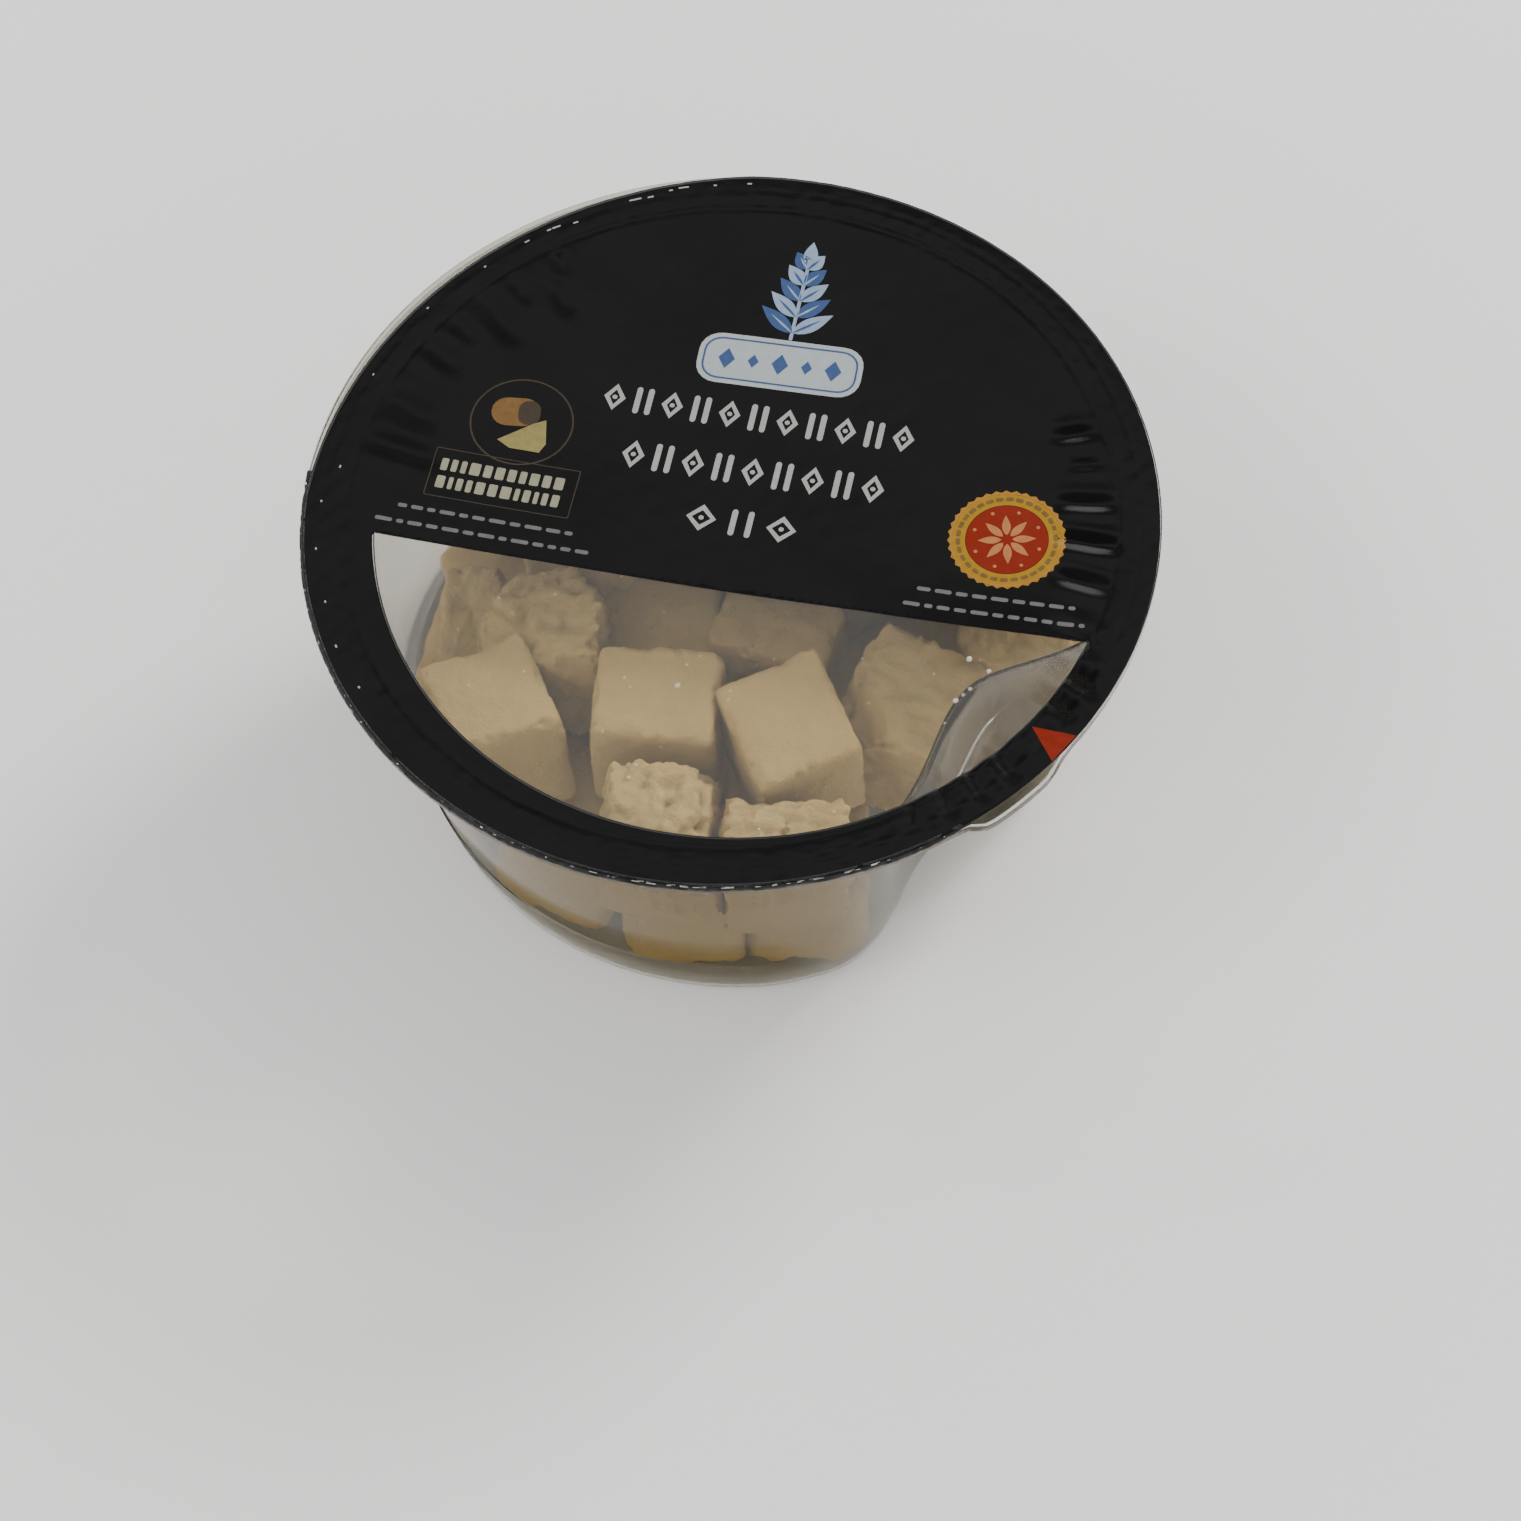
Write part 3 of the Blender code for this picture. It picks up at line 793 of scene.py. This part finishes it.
Chunk = namedtuple("Chunk", "x y top size taper turn lean crag cuts seed")
EDGE_POWER = 16.0
CRAG_SCALE = 0.16
CRAG_NOISE = (0.7, 2.0, 3)
BREAK_REACH = (0.70, 0.80)
CHUNK_GAP = 0.25
FLUTE_EXTRA_GAP = 0.8

# Least share of each axis in the normal of a break
BREAK_LEAST = (0.5, 0.3, -0.6)

# How far the chunks that the photo hides are drawn out of line
FAR_SPREAD = (-1.0, 0.6)
SIZE_SPREAD = (0.94, 1.08)
TURN_SPREAD = 22
LEAN_SPREAD = 7
TOP_SPREAD = 1.5
CRAG_SPREAD = (0.3, 0.7)
CUT_CHOICE = (1, 2, 2, 3)

SHOWN = (
    Chunk(-27.8, -29.0, 43.5, (15.5, 15.0, 17.0), 0.28, 35, (-3, 7), 0.30, 0, 11),
    Chunk(-23.5, -13.8, 41.5, (17.5, 16.5, 18.5), 0.00, 12, (-4, -3), 1.0, 3, 12),
    Chunk(-5.4, -23.4, 42.8, (16.8, 14.4, 18.5), 0.05, 6, (3, 0), 0.35, 0, 13),
    Chunk(12.9, -24.7, 43.8, (15.0, 17.0, 16.5), 0.00, 34, (2, -3), 0.25, 0, 14),
    Chunk(27.6, -15.9, 41.2, (19.5, 18.2, 22.5), -0.16, -13, (3, 5), 0.6, 3, 15),
    Chunk(7.0, -4.5, 35.5, (17.0, 15.0, 15.0), 0.00, -6, (-4, 2), 0.5, 2, 16),
    Chunk(-1.4, -40.8, 44.0, (13.6, 13.0, 18.5), 0.35, 11, (-7, 0), 0.8, 2, 17),
    Chunk(15.6, -42.0, 43.2, (17.0, 11.0, 20.5), 0.00, 14, (-8, 2), 0.75, 2, 18),
    Chunk(-33.6, -11.5, 36.0, (9.0, 16.5, 14.0), 0.00, 8, (4, -8), 0.5, 2, 19),
    Chunk(39.5, -1.5, 38.0, (16.0, 16.5, 17.0), 0.00, -82, (-3, -4), 0.6, 2, 20),
    Chunk(-9.0, -6.0, 33.5, (17.0, 16.0, 15.0), 0.00, 8, (3, -2), 0.4, 1, 21),
)


def ring_of_chunks(count, radius, first, last, top, side, seed):
    """Chunks evenly round the axis, each a little out of line."""
    draw = Random(seed)
    row = []
    for index in range(count):
        angle = radians(first + (last - first) * index / max(count - 1, 1))
        far = radius + draw.uniform(*FAR_SPREAD)
        size = tuple(side * draw.uniform(*SIZE_SPREAD) for _ in range(3))
        turn = angle * 180 / pi + draw.uniform(-TURN_SPREAD, TURN_SPREAD)
        lean = (draw.uniform(-LEAN_SPREAD, LEAN_SPREAD), draw.uniform(-LEAN_SPREAD, LEAN_SPREAD))
        own_top = top + draw.uniform(-TOP_SPREAD, TOP_SPREAD)
        crag = draw.uniform(*CRAG_SPREAD)
        row.append(Chunk(far * cos(angle), far * sin(angle), own_top, size, 0.0, turn, lean, crag,
                         draw.choice(CUT_CHOICE), seed + index))
    return row


def outer_chunks():
    """Chunks under the print and along the wall."""
    chunks = ring_of_chunks(6, 41.0, 21, 149, 41.0, 16.2, 200)
    chunks += ring_of_chunks(3, 20.5, 38, 165, 40.5, 16.8, 230)
    chunks += ring_of_chunks(8, 35.0, 8, 190, 22.5, 18.0, 260)
    return chunks + ring_of_chunks(4, 35.5, 214, 296, 22.5, 17.6, 290)


def inner_chunks():
    """Chunks deep in the tub, seen only through the gaps."""
    return ring_of_chunks(6, 18.0, 0, 300, 22.0, 17.5, 320) + ring_of_chunks(1, 0.5, 0, 0, 21.5, 17.0, 340)


def break_planes(chunk):
    """Planes that take corners off a chunk, each a normal and a distance from its middle."""
    draw = Random(chunk.seed)
    least_x, least_y, least_z = BREAK_LEAST
    planes = []
    for _ in range(chunk.cuts):
        normal = Vector((draw.choice((-1, 1)) * draw.uniform(least_x, 1),
                         draw.choice((-1, 1)) * draw.uniform(least_y, 1),
                         draw.uniform(least_z, 1))).normalized()
        corner = sum(abs(n) for n in normal)
        planes.append((normal, corner * draw.uniform(*BREAK_REACH)))
    return planes


SHELL_PITCH = 3.4
SHELL_DEPTH = 0.7
SHELL_CENTRE = (0.9, -0.8, -0.5)
SHELL_RISE = 0.82
CRUMBLE = 2.0
CRUMBLE_FROM = 0.84
CREASE_SCALE = 0.33
CREASE_DEPTH = 0.85
FACET_DEPTH = 1.1
FACET_SIZES = (3.4, 1.9)
GRIT_SCALE = 0.9
GRIT_DEPTH = 0.11
PLAIN_CRAG = 0.3


def shells(point, half, drift):
    """Ridges like those of a broken shell, round a point low on one side of the chunk."""
    centre = Vector(c * h for c, h in zip(SHELL_CENTRE, half))
    wave = (point - centre).length / SHELL_PITCH + noise.noise((point + drift) * 0.17) * 1.3
    part = wave % 1
    return part if part < SHELL_RISE else (1 - part) / 0.18 * SHELL_RISE


def facets(point, size):
    """Small tilted faces with steps between them, as broken hard cheese has."""
    spot = point / size
    centre = Vector(noise.voronoi(spot)[1][0])
    tilt = Vector(noise.noise(centre * 7.3 + Vector((0, 0, shift))) for shift in (0.0, 31.7, 67.1))
    return (spot - centre).dot(tilt)


def surface_relief(point, unit, half, drift, broken, chunk):
    """Depth taken off a chunk's surface: shells where it is broken, crumbled edges, grit."""
    rough = min(0.12 + broken + max(chunk.crag - PLAIN_CRAG, 0) * 1.9, 1.0)
    edge = max(sorted(abs(c) for c in unit)[1] - CRUMBLE_FROM, 0) * 6
    crumbled = max(noise.noise((point + drift) * 0.75) + 0.05, 0) * edge
    crease = abs(noise.noise((point + drift) * CREASE_SCALE))
    crease = max(crease, 0.6 * abs(noise.noise((point - drift) * CREASE_SCALE * 2.3)))
    large, small = FACET_SIZES
    facet = facets(point + drift, large) + 0.6 * facets(point - drift, small)
    grit = noise.fractal((point + drift) * GRIT_SCALE, 0.8, 2.1, 4)
    depth = SHELL_DEPTH * rough * shells(point, half, drift)
    depth += CREASE_DEPTH * crease * (0.12 + 0.88 * rough)
    depth += FACET_DEPTH * facet * (0.10 + 0.90 * rough)
    return depth + CRUMBLE * crumbled * (0.45 + 0.55 * rough) - GRIT_DEPTH * grit * (0.5 + rough)


def peak_lift(chunk, unit):
    """How far a point stands up where the chunk has a pointed corner."""
    if chunk.seed not in PEAKS:
        return 0.0
    corner, lift = PEAKS[chunk.seed]
    return lift * exp(-((unit - Vector(corner)).length / PEAK_REACH) ** 2)


def chunk_points(chunk, unit_points):
    """A chunk's points from those of a plain block: broken, rough, turned and put in place."""
    half = Vector(chunk.size) / 2
    turn = Euler((radians(chunk.lean[0]), radians(chunk.lean[1]), radians(chunk.turn))).to_matrix()
    drift = Vector((chunk.seed * 3.1, chunk.seed * 1.7, 0))
    planes = break_planes(chunk)
    placed = []
    for unit in unit_points:
        reach = sum(abs(c) ** EDGE_POWER for c in unit) ** (1 / EDGE_POWER)
        point = unit / reach
        broken = 0.0
        for normal, limit in planes:
            over = point.dot(normal) - limit
            if over > 0:
                point -= normal * over
                broken = max(broken, min(over * 6, 1))
        spread = 1 + chunk.taper * (0.5 - point.z / 2)
        point = Vector((point.x * half.x * spread, point.y * half.y * spread, point.z * half.z))
        crag = noise.fractal((point + drift) * CRAG_SCALE, *CRAG_NOISE)
        out = point.normalized()
        point += out * crag * chunk.crag
        point -= out * surface_relief(point, unit, half, drift, broken, chunk)
        placed.append(turn @ point)
    rise = chunk.top - max(p.z for p in placed)
    return [p + Vector((chunk.x, chunk.y, rise + peak_lift(chunk, unit)))
            for p, unit in zip(placed, unit_points)]


def keep_in_tub(point):
    """Holds a point clear of the wall and the floor."""
    z = max(point.z, SHEET_T + PANEL_RISE + CHUNK_GAP)
    angle = atan2(point.y, point.x)
    far = hypot(point.x, point.y)
    room = float(inner_radius(angle, z)) - CHUNK_GAP - FLUTE_EXTRA_GAP * float(flute_share(angle))
    if far > room:
        point = Vector((point.x * room / far, point.y * room / far, point.z))
    return Vector((point.x, point.y, z))


def block_points(cells):
    """Points and faces of a cube of side 2 with its faces cut into a grid."""
    bm = bmesh.new()
    bmesh.ops.create_cube(bm, size=2)
    bmesh.ops.subdivide_edges(bm, edges=bm.edges, cuts=cells - 1, use_grid_fill=True)
    return lists_of(bm)


def make_chunks(name, chunks, cells, finish):
    """Chunks joined to one piece, with their sides cut into a number of cells."""
    unit_points, unit_faces = block_points(cells)
    points, faces = join((map(keep_in_tub, chunk_points(chunk, unit_points)), unit_faces) for chunk in chunks)
    made = add_mesh(name, points, faces, finish)
    made.data.set_sharp_from_angle(angle=radians(60))
    return made


# Small white crystals on the tops (x, y, size), and pale beads along the flute's mouth that are painted
# highlights where its edge glints
CRYSTALS = (
    (-9.1, -16.3, 0.75), (-2.7, -22.4, 0.95), (-0.7, -17.5, 0.45), (16.3, -16.0, 0.6), (-15.6, -21.7, 0.45),
    (-9.3, -14.6, 0.4), (2.5, -22.4, 0.4), (-23.4, -23.7, 0.35), (20.3, -12.4, 0.45), (-6.0, -37.4, 0.5),
    (-18.2, -26.8, 0.4), (30.1, -13.0, 0.4), (12.2, -41.5, 0.45), (-29.8, -12.2, 0.45), (-22.4, -10.4, 0.5),
)
PAINTED_GLINT_BEADS = (
    (35.3, -17.1, 0.8), (38.1, -18.4, 0.75), (36.2, -21.6, 0.7), (35.5, -22.6, 0.6), (34.7, -23.7, 0.85),
    (33.9, -27.2, 0.4),
)
GLINT_BEAD_DEPTH = 0.45
LOOSE_CRUMBS = 260
CRUMBS_BELOW = 37.0
CRUMBS_X = (-44, 44)
CRUMBS_Y = (-48, -2)
LUMP_SPREAD = (0.65, 1.15)


def lump(draw, place, size):
    """Points and faces of a small uneven lump."""
    bm = bmesh.new()
    bmesh.ops.create_icosphere(bm, subdivisions=1, radius=size / 2)
    points, faces = lists_of(bm)
    return [p * draw.uniform(*LUMP_SPREAD) + place for p in points], faces


def make_lumps(name, places, seed, finish):
    """Lumps at places in millimetres, each with its size, joined to one piece."""
    draw = Random(seed)
    points, faces = join(lump(draw, place, size) for place, size in places)
    return add_mesh(name, points, faces, finish)


def tops_under(tree, spots, highest=FLANGE_TOP):
    """Where rays from above meet the chunks below a height in millimetres, with each spot's size."""
    found = []
    for x, y, size in spots:
        place = tree.ray_cast(Vector((x, y, FLANGE_TOP)) * MM, Vector((0, 0, -1)))[0]
        if place is not None and place.z / MM < highest:
            found.append((place / MM, size))
    return found


def make_crumbs(chunk_pieces, crumb_finish, crystal_and_glint_finish):
    """Crumbs in the gaps between the chunks, the small white crystals, and the pale beads at the mouth that
    paint its highlights.
    """
    bm = bmesh.new()
    for piece in chunk_pieces:
        bm.from_mesh(piece.data)
    tree = BVHTree.FromBMesh(bm)
    bm.free()
    draw = Random(77)
    spots = []
    while len(spots) < LOOSE_CRUMBS:
        x = draw.uniform(*CRUMBS_X)
        y = draw.uniform(*CRUMBS_Y)
        if hypot(x, y) < inner_radius(atan2(y, x), 30) - 2.0:
            spots.append((x, y, draw.uniform(0.25, 0.6) * draw.uniform(0.7, 1.6)))
    # Pale beads along the mouth's edge: painted highlights
    glint_beads = [(Vector((x, y, FLANGE_TOP - GLINT_BEAD_DEPTH)), size) for x, y, size in PAINTED_GLINT_BEADS]
    return [make_lumps("cheese_crumbs", tops_under(tree, spots, CRUMBS_BELOW), 78, crumb_finish),
            make_lumps("white_crystals", tops_under(tree, CRYSTALS), 79, crystal_and_glint_finish),
            make_lumps("mouth_painted_glints", glint_beads, 80, crystal_and_glint_finish)]


# Finishes

FLOAT = "NodeSocketFloat"
COLOUR = "NodeSocketColor"


def new_group(name, gives, takes):
    """A shader node group: the name of its output, and its inputs with default numbers or colours."""
    group = bpy.data.node_groups.new(name, "ShaderNodeTree")
    for label, value in takes.items():
        kind = COLOUR if isinstance(value, tuple) else FLOAT
        group.interface.new_socket(name=label, in_out="INPUT", socket_type=kind).default_value = value
    kind = COLOUR if gives == "Colour" else FLOAT
    group.interface.new_socket(name=gives, in_out="OUTPUT", socket_type=kind)
    place = group.nodes.new("ShaderNodeTexCoord").outputs["Object"]
    return group, place, group.nodes.new("NodeGroupInput").outputs


def end_group(group, result):
    group.links.new(result, group.nodes.new("NodeGroupOutput").inputs[0])
    return group


def set_inputs(tree, node, **inputs):
    """Fills or links a node's inputs by name, or by number where the key is n and a number."""
    for key, value in inputs.items():
        numbered = key[0] == "n" and key[1:].isdigit()
        socket = node.inputs[int(key[1:]) if numbered else key.replace("_", " ")]
        if isinstance(value, bpy.types.NodeSocket):
            tree.links.new(value, socket)
        else:
            socket.default_value = value
    return node


def put(tree, kind, settings=None, **inputs):
    """Adds a node, sets its properties and fills or links its inputs."""
    node = tree.nodes.new(kind)
    for key, value in (settings or {}).items():
        setattr(node, key, value)
    return set_inputs(tree, node, **inputs)


def maths(tree, operation, *values, clamp=False):
    """The result of a math node for numbers or sockets."""
    inputs = {f"n{i}": value for i, value in enumerate(values)}
    return put(tree, "ShaderNodeMath", {"operation": operation, "use_clamp": clamp}, **inputs).outputs[0]


def cloud(tree, place, scale, detail, roughness):
    """Soft noise between 0 and 1."""
    made = put(tree, "ShaderNodeTexNoise", Vector=place, Scale=scale, Detail=detail, Roughness=roughness)
    return made.outputs["Fac"]


def mix_colours(tree, share, first, second):
    made = put(tree, "ShaderNodeMix", {"data_type": "RGBA"}, Factor=share, n6=first, n7=second)
    return made.outputs[2]


def build_mottle():
    """Soft patches between two colours."""
    group, place, given = new_group("mottle", "Colour", {
        "Light": (1, 1, 1, 1), "Dark": (0, 0, 0, 1), "Patches per metre": 100.0, "Sharpness": 1.0})
    centred = maths(group, "SUBTRACT", cloud(group, place, given["Patches per metre"], 4.0, 0.6), 0.5)
    spread = maths(group, "MULTIPLY_ADD", centred, given["Sharpness"], 0.5, clamp=True)
    return end_group(group, mix_colours(group, spread, given["Dark"], given["Light"]))


def build_specks():
    """Small round specks scattered over a surface, as a mask."""
    group, place, given = new_group("specks", "Mask", {"Cells per metre": 400.0, "Size": 0.2, "Share": 0.3})
    cells = put(group, "ShaderNodeTexVoronoi", Vector=place, Scale=given["Cells per metre"])
    near = maths(group, "LESS_THAN", cells.outputs["Distance"], given["Size"])
    lot = put(group, "ShaderNodeSeparateColor", Color=cells.outputs["Color"])
    chosen = maths(group, "LESS_THAN", lot.outputs[0], given["Share"])
    return end_group(group, maths(group, "MULTIPLY", near, chosen))


def build_grain():
    """Granular relief: fine grain on a coarser crumb, as a height."""
    group, place, given = new_group("grain", "Height", {
        "Fine per metre": 2500.0, "Coarse per metre": 500.0, "Coarse share": 0.5})
    fine = cloud(group, place, given["Fine per metre"], 3.0, 0.65)
    coarse = cloud(group, place, given["Coarse per metre"], 4.0, 0.6)
    blend = put(group, "ShaderNodeMix", {"data_type": "FLOAT"}, n0=given["Coarse share"], n2=fine, n3=coarse)
    return end_group(group, blend.outputs[0])


def build_scuffs():
    """Faint smears and rubs that change the gloss of plastic."""
    group, place, given = new_group("scuffs", "Roughness", {"Smooth": 0.1, "Rubbed": 0.3, "Per metre": 60.0})
    stretch = put(group, "ShaderNodeMapping", Vector=place, Scale=(1.0, 2.6, 1.0), Rotation=(0.0, 0.0, 0.6))
    smear = cloud(group, stretch.outputs[0], given["Per metre"], 6.0, 0.7)
    gloss = put(group, "ShaderNodeMapRange", Value=smear, n1=0.35, n2=0.7, n3=given["Smooth"],
                n4=given["Rubbed"])
    return end_group(group, gloss.outputs[0])


GROUPS = {"mottle": build_mottle(), "specks": build_specks(), "grain": build_grain(),
          "scuffs": build_scuffs()}


def use(tree, name, **inputs):
    """Adds one of the node groups and gives its result."""
    node = put(tree, "ShaderNodeGroup", {"node_tree": GROUPS[name]})
    return set_inputs(tree, node, **inputs).outputs[0]


def new_finish(name):
    made = bpy.data.materials.new(name)
    made.use_nodes = True
    tree = made.node_tree
    return made, tree, tree.nodes["Principled BSDF"]


def mottle(tree, light, dark, patches, sharpness):
    """Soft patches of two tones, so many to the metre."""
    return use(tree, "mottle", Light=(*light, 1.0), Dark=(*dark, 1.0), Patches_per_metre=patches,
               Sharpness=sharpness)


def set_gloss(tree, shader, smooth, rubbed, smears):
    """Roughness between two values, with so many smears to the metre."""
    gloss = use(tree, "scuffs", Smooth=smooth, Rubbed=rubbed, Per_metre=smears)
    set_inputs(tree, shader, Roughness=gloss)


def set_relief(tree, shader, fine, coarse, coarse_share, depth_mm, strength):
    """Grainy relief with so many fine and coarse grains to the metre."""
    height = use(tree, "grain", Fine_per_metre=fine, Coarse_per_metre=coarse, Coarse_share=coarse_share)
    relief = put(tree, "ShaderNodeBump", Height=height, Distance=depth_mm * MM, Strength=strength)
    set_inputs(tree, shader, Normal=relief.outputs["Normal"])


def finish_mottled(name, tones, gloss, shine=0.5, relief=None):
    """A finish in patches of two tones, with smears in its gloss and a grainy relief."""
    made, tree, shader = new_finish(name)
    set_inputs(tree, shader, Base_Color=mottle(tree, *tones), Specular_IOR_Level=shine)
    set_gloss(tree, shader, *gloss)
    if relief:
        set_relief(tree, shader, *relief)
    return made


def finish_clear(name, colour, clear, ior, shine, gloss, shadow, relief=None):
    """A clear finish, which lets shadow rays straight through with a tint of their own."""
    made, tree, shader = new_finish(name)
    set_inputs(tree, shader, Base_Color=(*colour, 1.0), Transmission_Weight=clear, IOR=ior,
               Specular_IOR_Level=shine)
    set_gloss(tree, shader, *gloss)
    if relief:
        set_relief(tree, shader, *relief)
    way = put(tree, "ShaderNodeLightPath")
    through = put(tree, "ShaderNodeBsdfTransparent", Color=(*shadow, 1.0))
    mixed = put(tree, "ShaderNodeMixShader", n0=way.outputs["Is Shadow Ray"], n1=shader.outputs[0],
                n2=through.outputs[0])
    set_inputs(tree, tree.nodes["Material Output"], Surface=mixed.outputs[0])
    return made


def finish_cheese():
    """Pale dull cheese with flecks, a few paler specks and a grainy relief."""
    made, tree, shader = new_finish("hard_cheese")
    body = mottle(tree, (0.390, 0.284, 0.106), (0.330, 0.219, 0.074), 130.0, 1.7)
    fleck = mottle(tree, (0.430, 0.330, 0.135), (0.310, 0.205, 0.068), 700.0, 1.6)
    specks = use(tree, "specks", Cells_per_metre=900.0, Size=0.20, Share=0.035)
    spotted = mix_colours(tree, specks, mix_colours(tree, 0.3, body, fleck), (0.52, 0.44, 0.28, 1.0))
    set_inputs(tree, shader, Base_Color=spotted, Roughness=0.62, Specular_IOR_Level=0.2,
               Subsurface_Weight=0.4, Subsurface_Radius=(1.0, 0.45, 0.22), Subsurface_Scale=0.003)
    set_relief(tree, shader, 1900.0, 420.0, 0.55, 0.6, 0.8)
    return made


def finish_floor():
    made, tree, shader = new_finish("pale_floor")
    tone = mottle(tree, (0.93, 0.93, 0.93), (0.91, 0.91, 0.91), 6.0, 1.0)
    set_inputs(tree, shader, Base_Color=tone, Roughness=0.8)
    return made


# Camera, light and floor

def make_camera():
    flat = Vector((-sin(VIEW_TURN), cos(VIEW_TURN), 0))
    right = Vector((cos(VIEW_TURN), sin(VIEW_TURN), 0))
    up = Vector((0, 0, 1))
    ahead = flat * cos(VIEW_DOWN) - up * sin(VIEW_DOWN)
    above = flat * sin(VIEW_DOWN) + up * cos(VIEW_DOWN)
    right_rolled = right * cos(VIEW_ROLL) - above * sin(VIEW_ROLL)
    above_rolled = right * sin(VIEW_ROLL) + above * cos(VIEW_ROLL)
    film_middle = Vector((0, 0, FLANGE_TOP + FILM_MIDDLE_UP))
    off_x, off_y, away = FILM_FROM_CAMERA
    spot = film_middle - (right_rolled * off_x + above_rolled * off_y + ahead * away)
    data = bpy.data.cameras.new("camera")
    data.sensor_width = SENSOR
    data.lens = FOCAL_PX / FRAME_PX * SENSOR
    data.clip_start = 0.01
    data.clip_end = 20.0
    camera = bpy.data.objects.new("camera", data)
    turn = Matrix((right_rolled, above_rolled, -ahead)).transposed().to_4x4()
    camera.matrix_world = Matrix.Translation(spot * MM) @ turn
    bpy.context.scene.collection.objects.link(camera)
    bpy.context.scene.camera = camera


def make_light(name, place, aim, size, power, colour):
    data = bpy.data.lights.new(name, "AREA")
    data.shape = "DISK"
    data.size = size
    data.energy = power
    data.color = colour
    lamp = bpy.data.objects.new(name, data)
    lamp.location = place
    lamp.rotation_euler = (Vector(aim) - Vector(place)).to_track_quat("-Z", "Y").to_euler()
    bpy.context.scene.collection.objects.link(lamp)


# How bright the studio is by height, from the level of the floor to straight above
STUDIO_GLOW = (
    (0.0, 0.45), (0.25, 0.95), (0.48, 1.0), (0.60, 0.10),
    (0.76, 0.08), (0.81, 0.30), (0.89, 0.30), (0.95, 0.06),
)
STUDIO_STRENGTH = 2.45

# Lamps: name, place and aim in metres, size, power and colour
LAMPS = (
    ("main", (1.05, 1.50, 1.25), (0, 0, 0.03), 0.7, 36.0, (1.0, 0.985, 0.95)),
    ("fill left", (-1.3, -1.0, 2.0), (0, 0, 0.03), 0.8, 11.0, (1.0, 0.97, 0.93)),
    ("glint front", (0.10, -0.95, 2.2), (0, 0, 0.05), 0.07, 3.0, (1, 1, 1)),
    ("glint left", (-1.8, 0.25, 1.6), (0, 0, 0.05), 0.07, 2.0, (1, 1, 1)),
)
FLOOR_REACH = 15000.0
FLOOR_DROP = 0.2


def make_studio(floor_finish):
    """Light of the room by height, the lamps and the floor."""
    world = bpy.data.worlds.new("studio")
    bpy.context.scene.world = world
    world.use_nodes = True
    sky = world.node_tree
    way = put(sky, "ShaderNodeTexCoord")
    split = put(sky, "ShaderNodeSeparateXYZ", Vector=way.outputs["Generated"])
    glow = put(sky, "ShaderNodeValToRGB", Fac=split.outputs["Z"])
    steps = glow.color_ramp.elements
    while len(steps) < len(STUDIO_GLOW):
        steps.new(0.5)
    for step, (height, tone) in zip(steps, STUDIO_GLOW):
        step.position = height
        step.color = (tone, tone, tone, 1.0)
    set_inputs(sky, sky.nodes["Background"], Color=glow.outputs["Color"], Strength=STUDIO_STRENGTH)
    for lamp in LAMPS:
        make_light(*lamp)
    corners = [(sx * FLOOR_REACH, sy * FLOOR_REACH, 0) for sx, sy in ((-1, -1), (1, -1), (1, 1), (-1, 1))]
    floor = add_mesh("floor", corners, [(0, 1, 2, 3)], floor_finish, smooth=False)
    floor.location.z = -FLOOR_DROP * MM


# Assembly

def ride(pieces, node):
    for piece in pieces:
        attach(piece, "root")
        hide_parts(node)


make_camera()
make_studio(finish_floor())

# Finishes: tones with their patches per metre and sharpness, gloss with its smears, and relief
BLACK = ((0.0040, 0.0040, 0.0040), (0.0022, 0.0022, 0.0022), 120.0, 1.6)
FILM_GRAIN = (1800.0, 220.0, 0.4)
inks = {name: finish_mottled(name + "_ink", (*tones, 900.0, 2.0), (0.4, 0.52, 60.0), 0.15)
        for name, tones in INK_TONES.items()}
clear_plastic = finish_clear(
    "clear_plastic", (0.60, 0.585, 0.53), clear=1.0, ior=1.14, shine=0.25, gloss=(0.015, 0.06, 45.0),
    shadow=(0.77, 0.75, 0.70), relief=(420.0, 60.0, 0.85, 0.25, 0.3))
clear_film = finish_clear(
    "clear_film", (0.90, 0.89, 0.87), clear=0.985, ior=1.36, shine=0.5, gloss=(0.03, 0.10, 30.0),
    shadow=(0.86, 0.86, 0.85))
hard_cheese = finish_cheese()
black_film = finish_mottled("black_print", BLACK, (0.14, 0.24, 40.0), 0.24, (*FILM_GRAIN, 0.03, 0.5))
black_edge = finish_mottled("black_edge", BLACK, (0.1, 1.0, 330.0), 0.3, (*FILM_GRAIN, 0.8, 0.5))
# Near-white finish of the slivers along the lip: painted highlights
glint_sliver_finish = finish_mottled("painted_glint_sliver", ((0.95, 0.95, 0.92), (0.45, 0.45, 0.43), 700.0, 3.0),
                           (0.1, 0.4, 300.0))
# Pale finish of the white crystals, also used for the beads that paint highlights at the mouth
crystal_and_glint = finish_mottled("white_crystal_and_glint", ((0.80, 0.74, 0.58), (0.62, 0.55, 0.38), 1500.0, 1.5),
                         (0.2, 0.45, 900.0))

ride([make_cup(clear_plastic)], "cup")
# The slivers on the lip and the pale dabs on the seal ring are painted highlights
film_edges = [make_film_lip(black_edge), make_painted_glint_slivers(glint_sliver_finish), make_painted_seal_glints(inks["pale"])]
ride(make_film(black_film, clear_film) + film_edges, "lid_film")
ride(make_print(inks), "lid_film")
heap = [make_chunks("cheese_chunks_shown", SHOWN, 30, hard_cheese),
        make_chunks("cheese_chunks_outer", outer_chunks(), 12, hard_cheese),
        make_chunks("cheese_chunks_inner", inner_chunks(), 8, hard_cheese)]
ride(heap + make_crumbs(heap, hard_cheese, crystal_and_glint), "cheese_chunks")
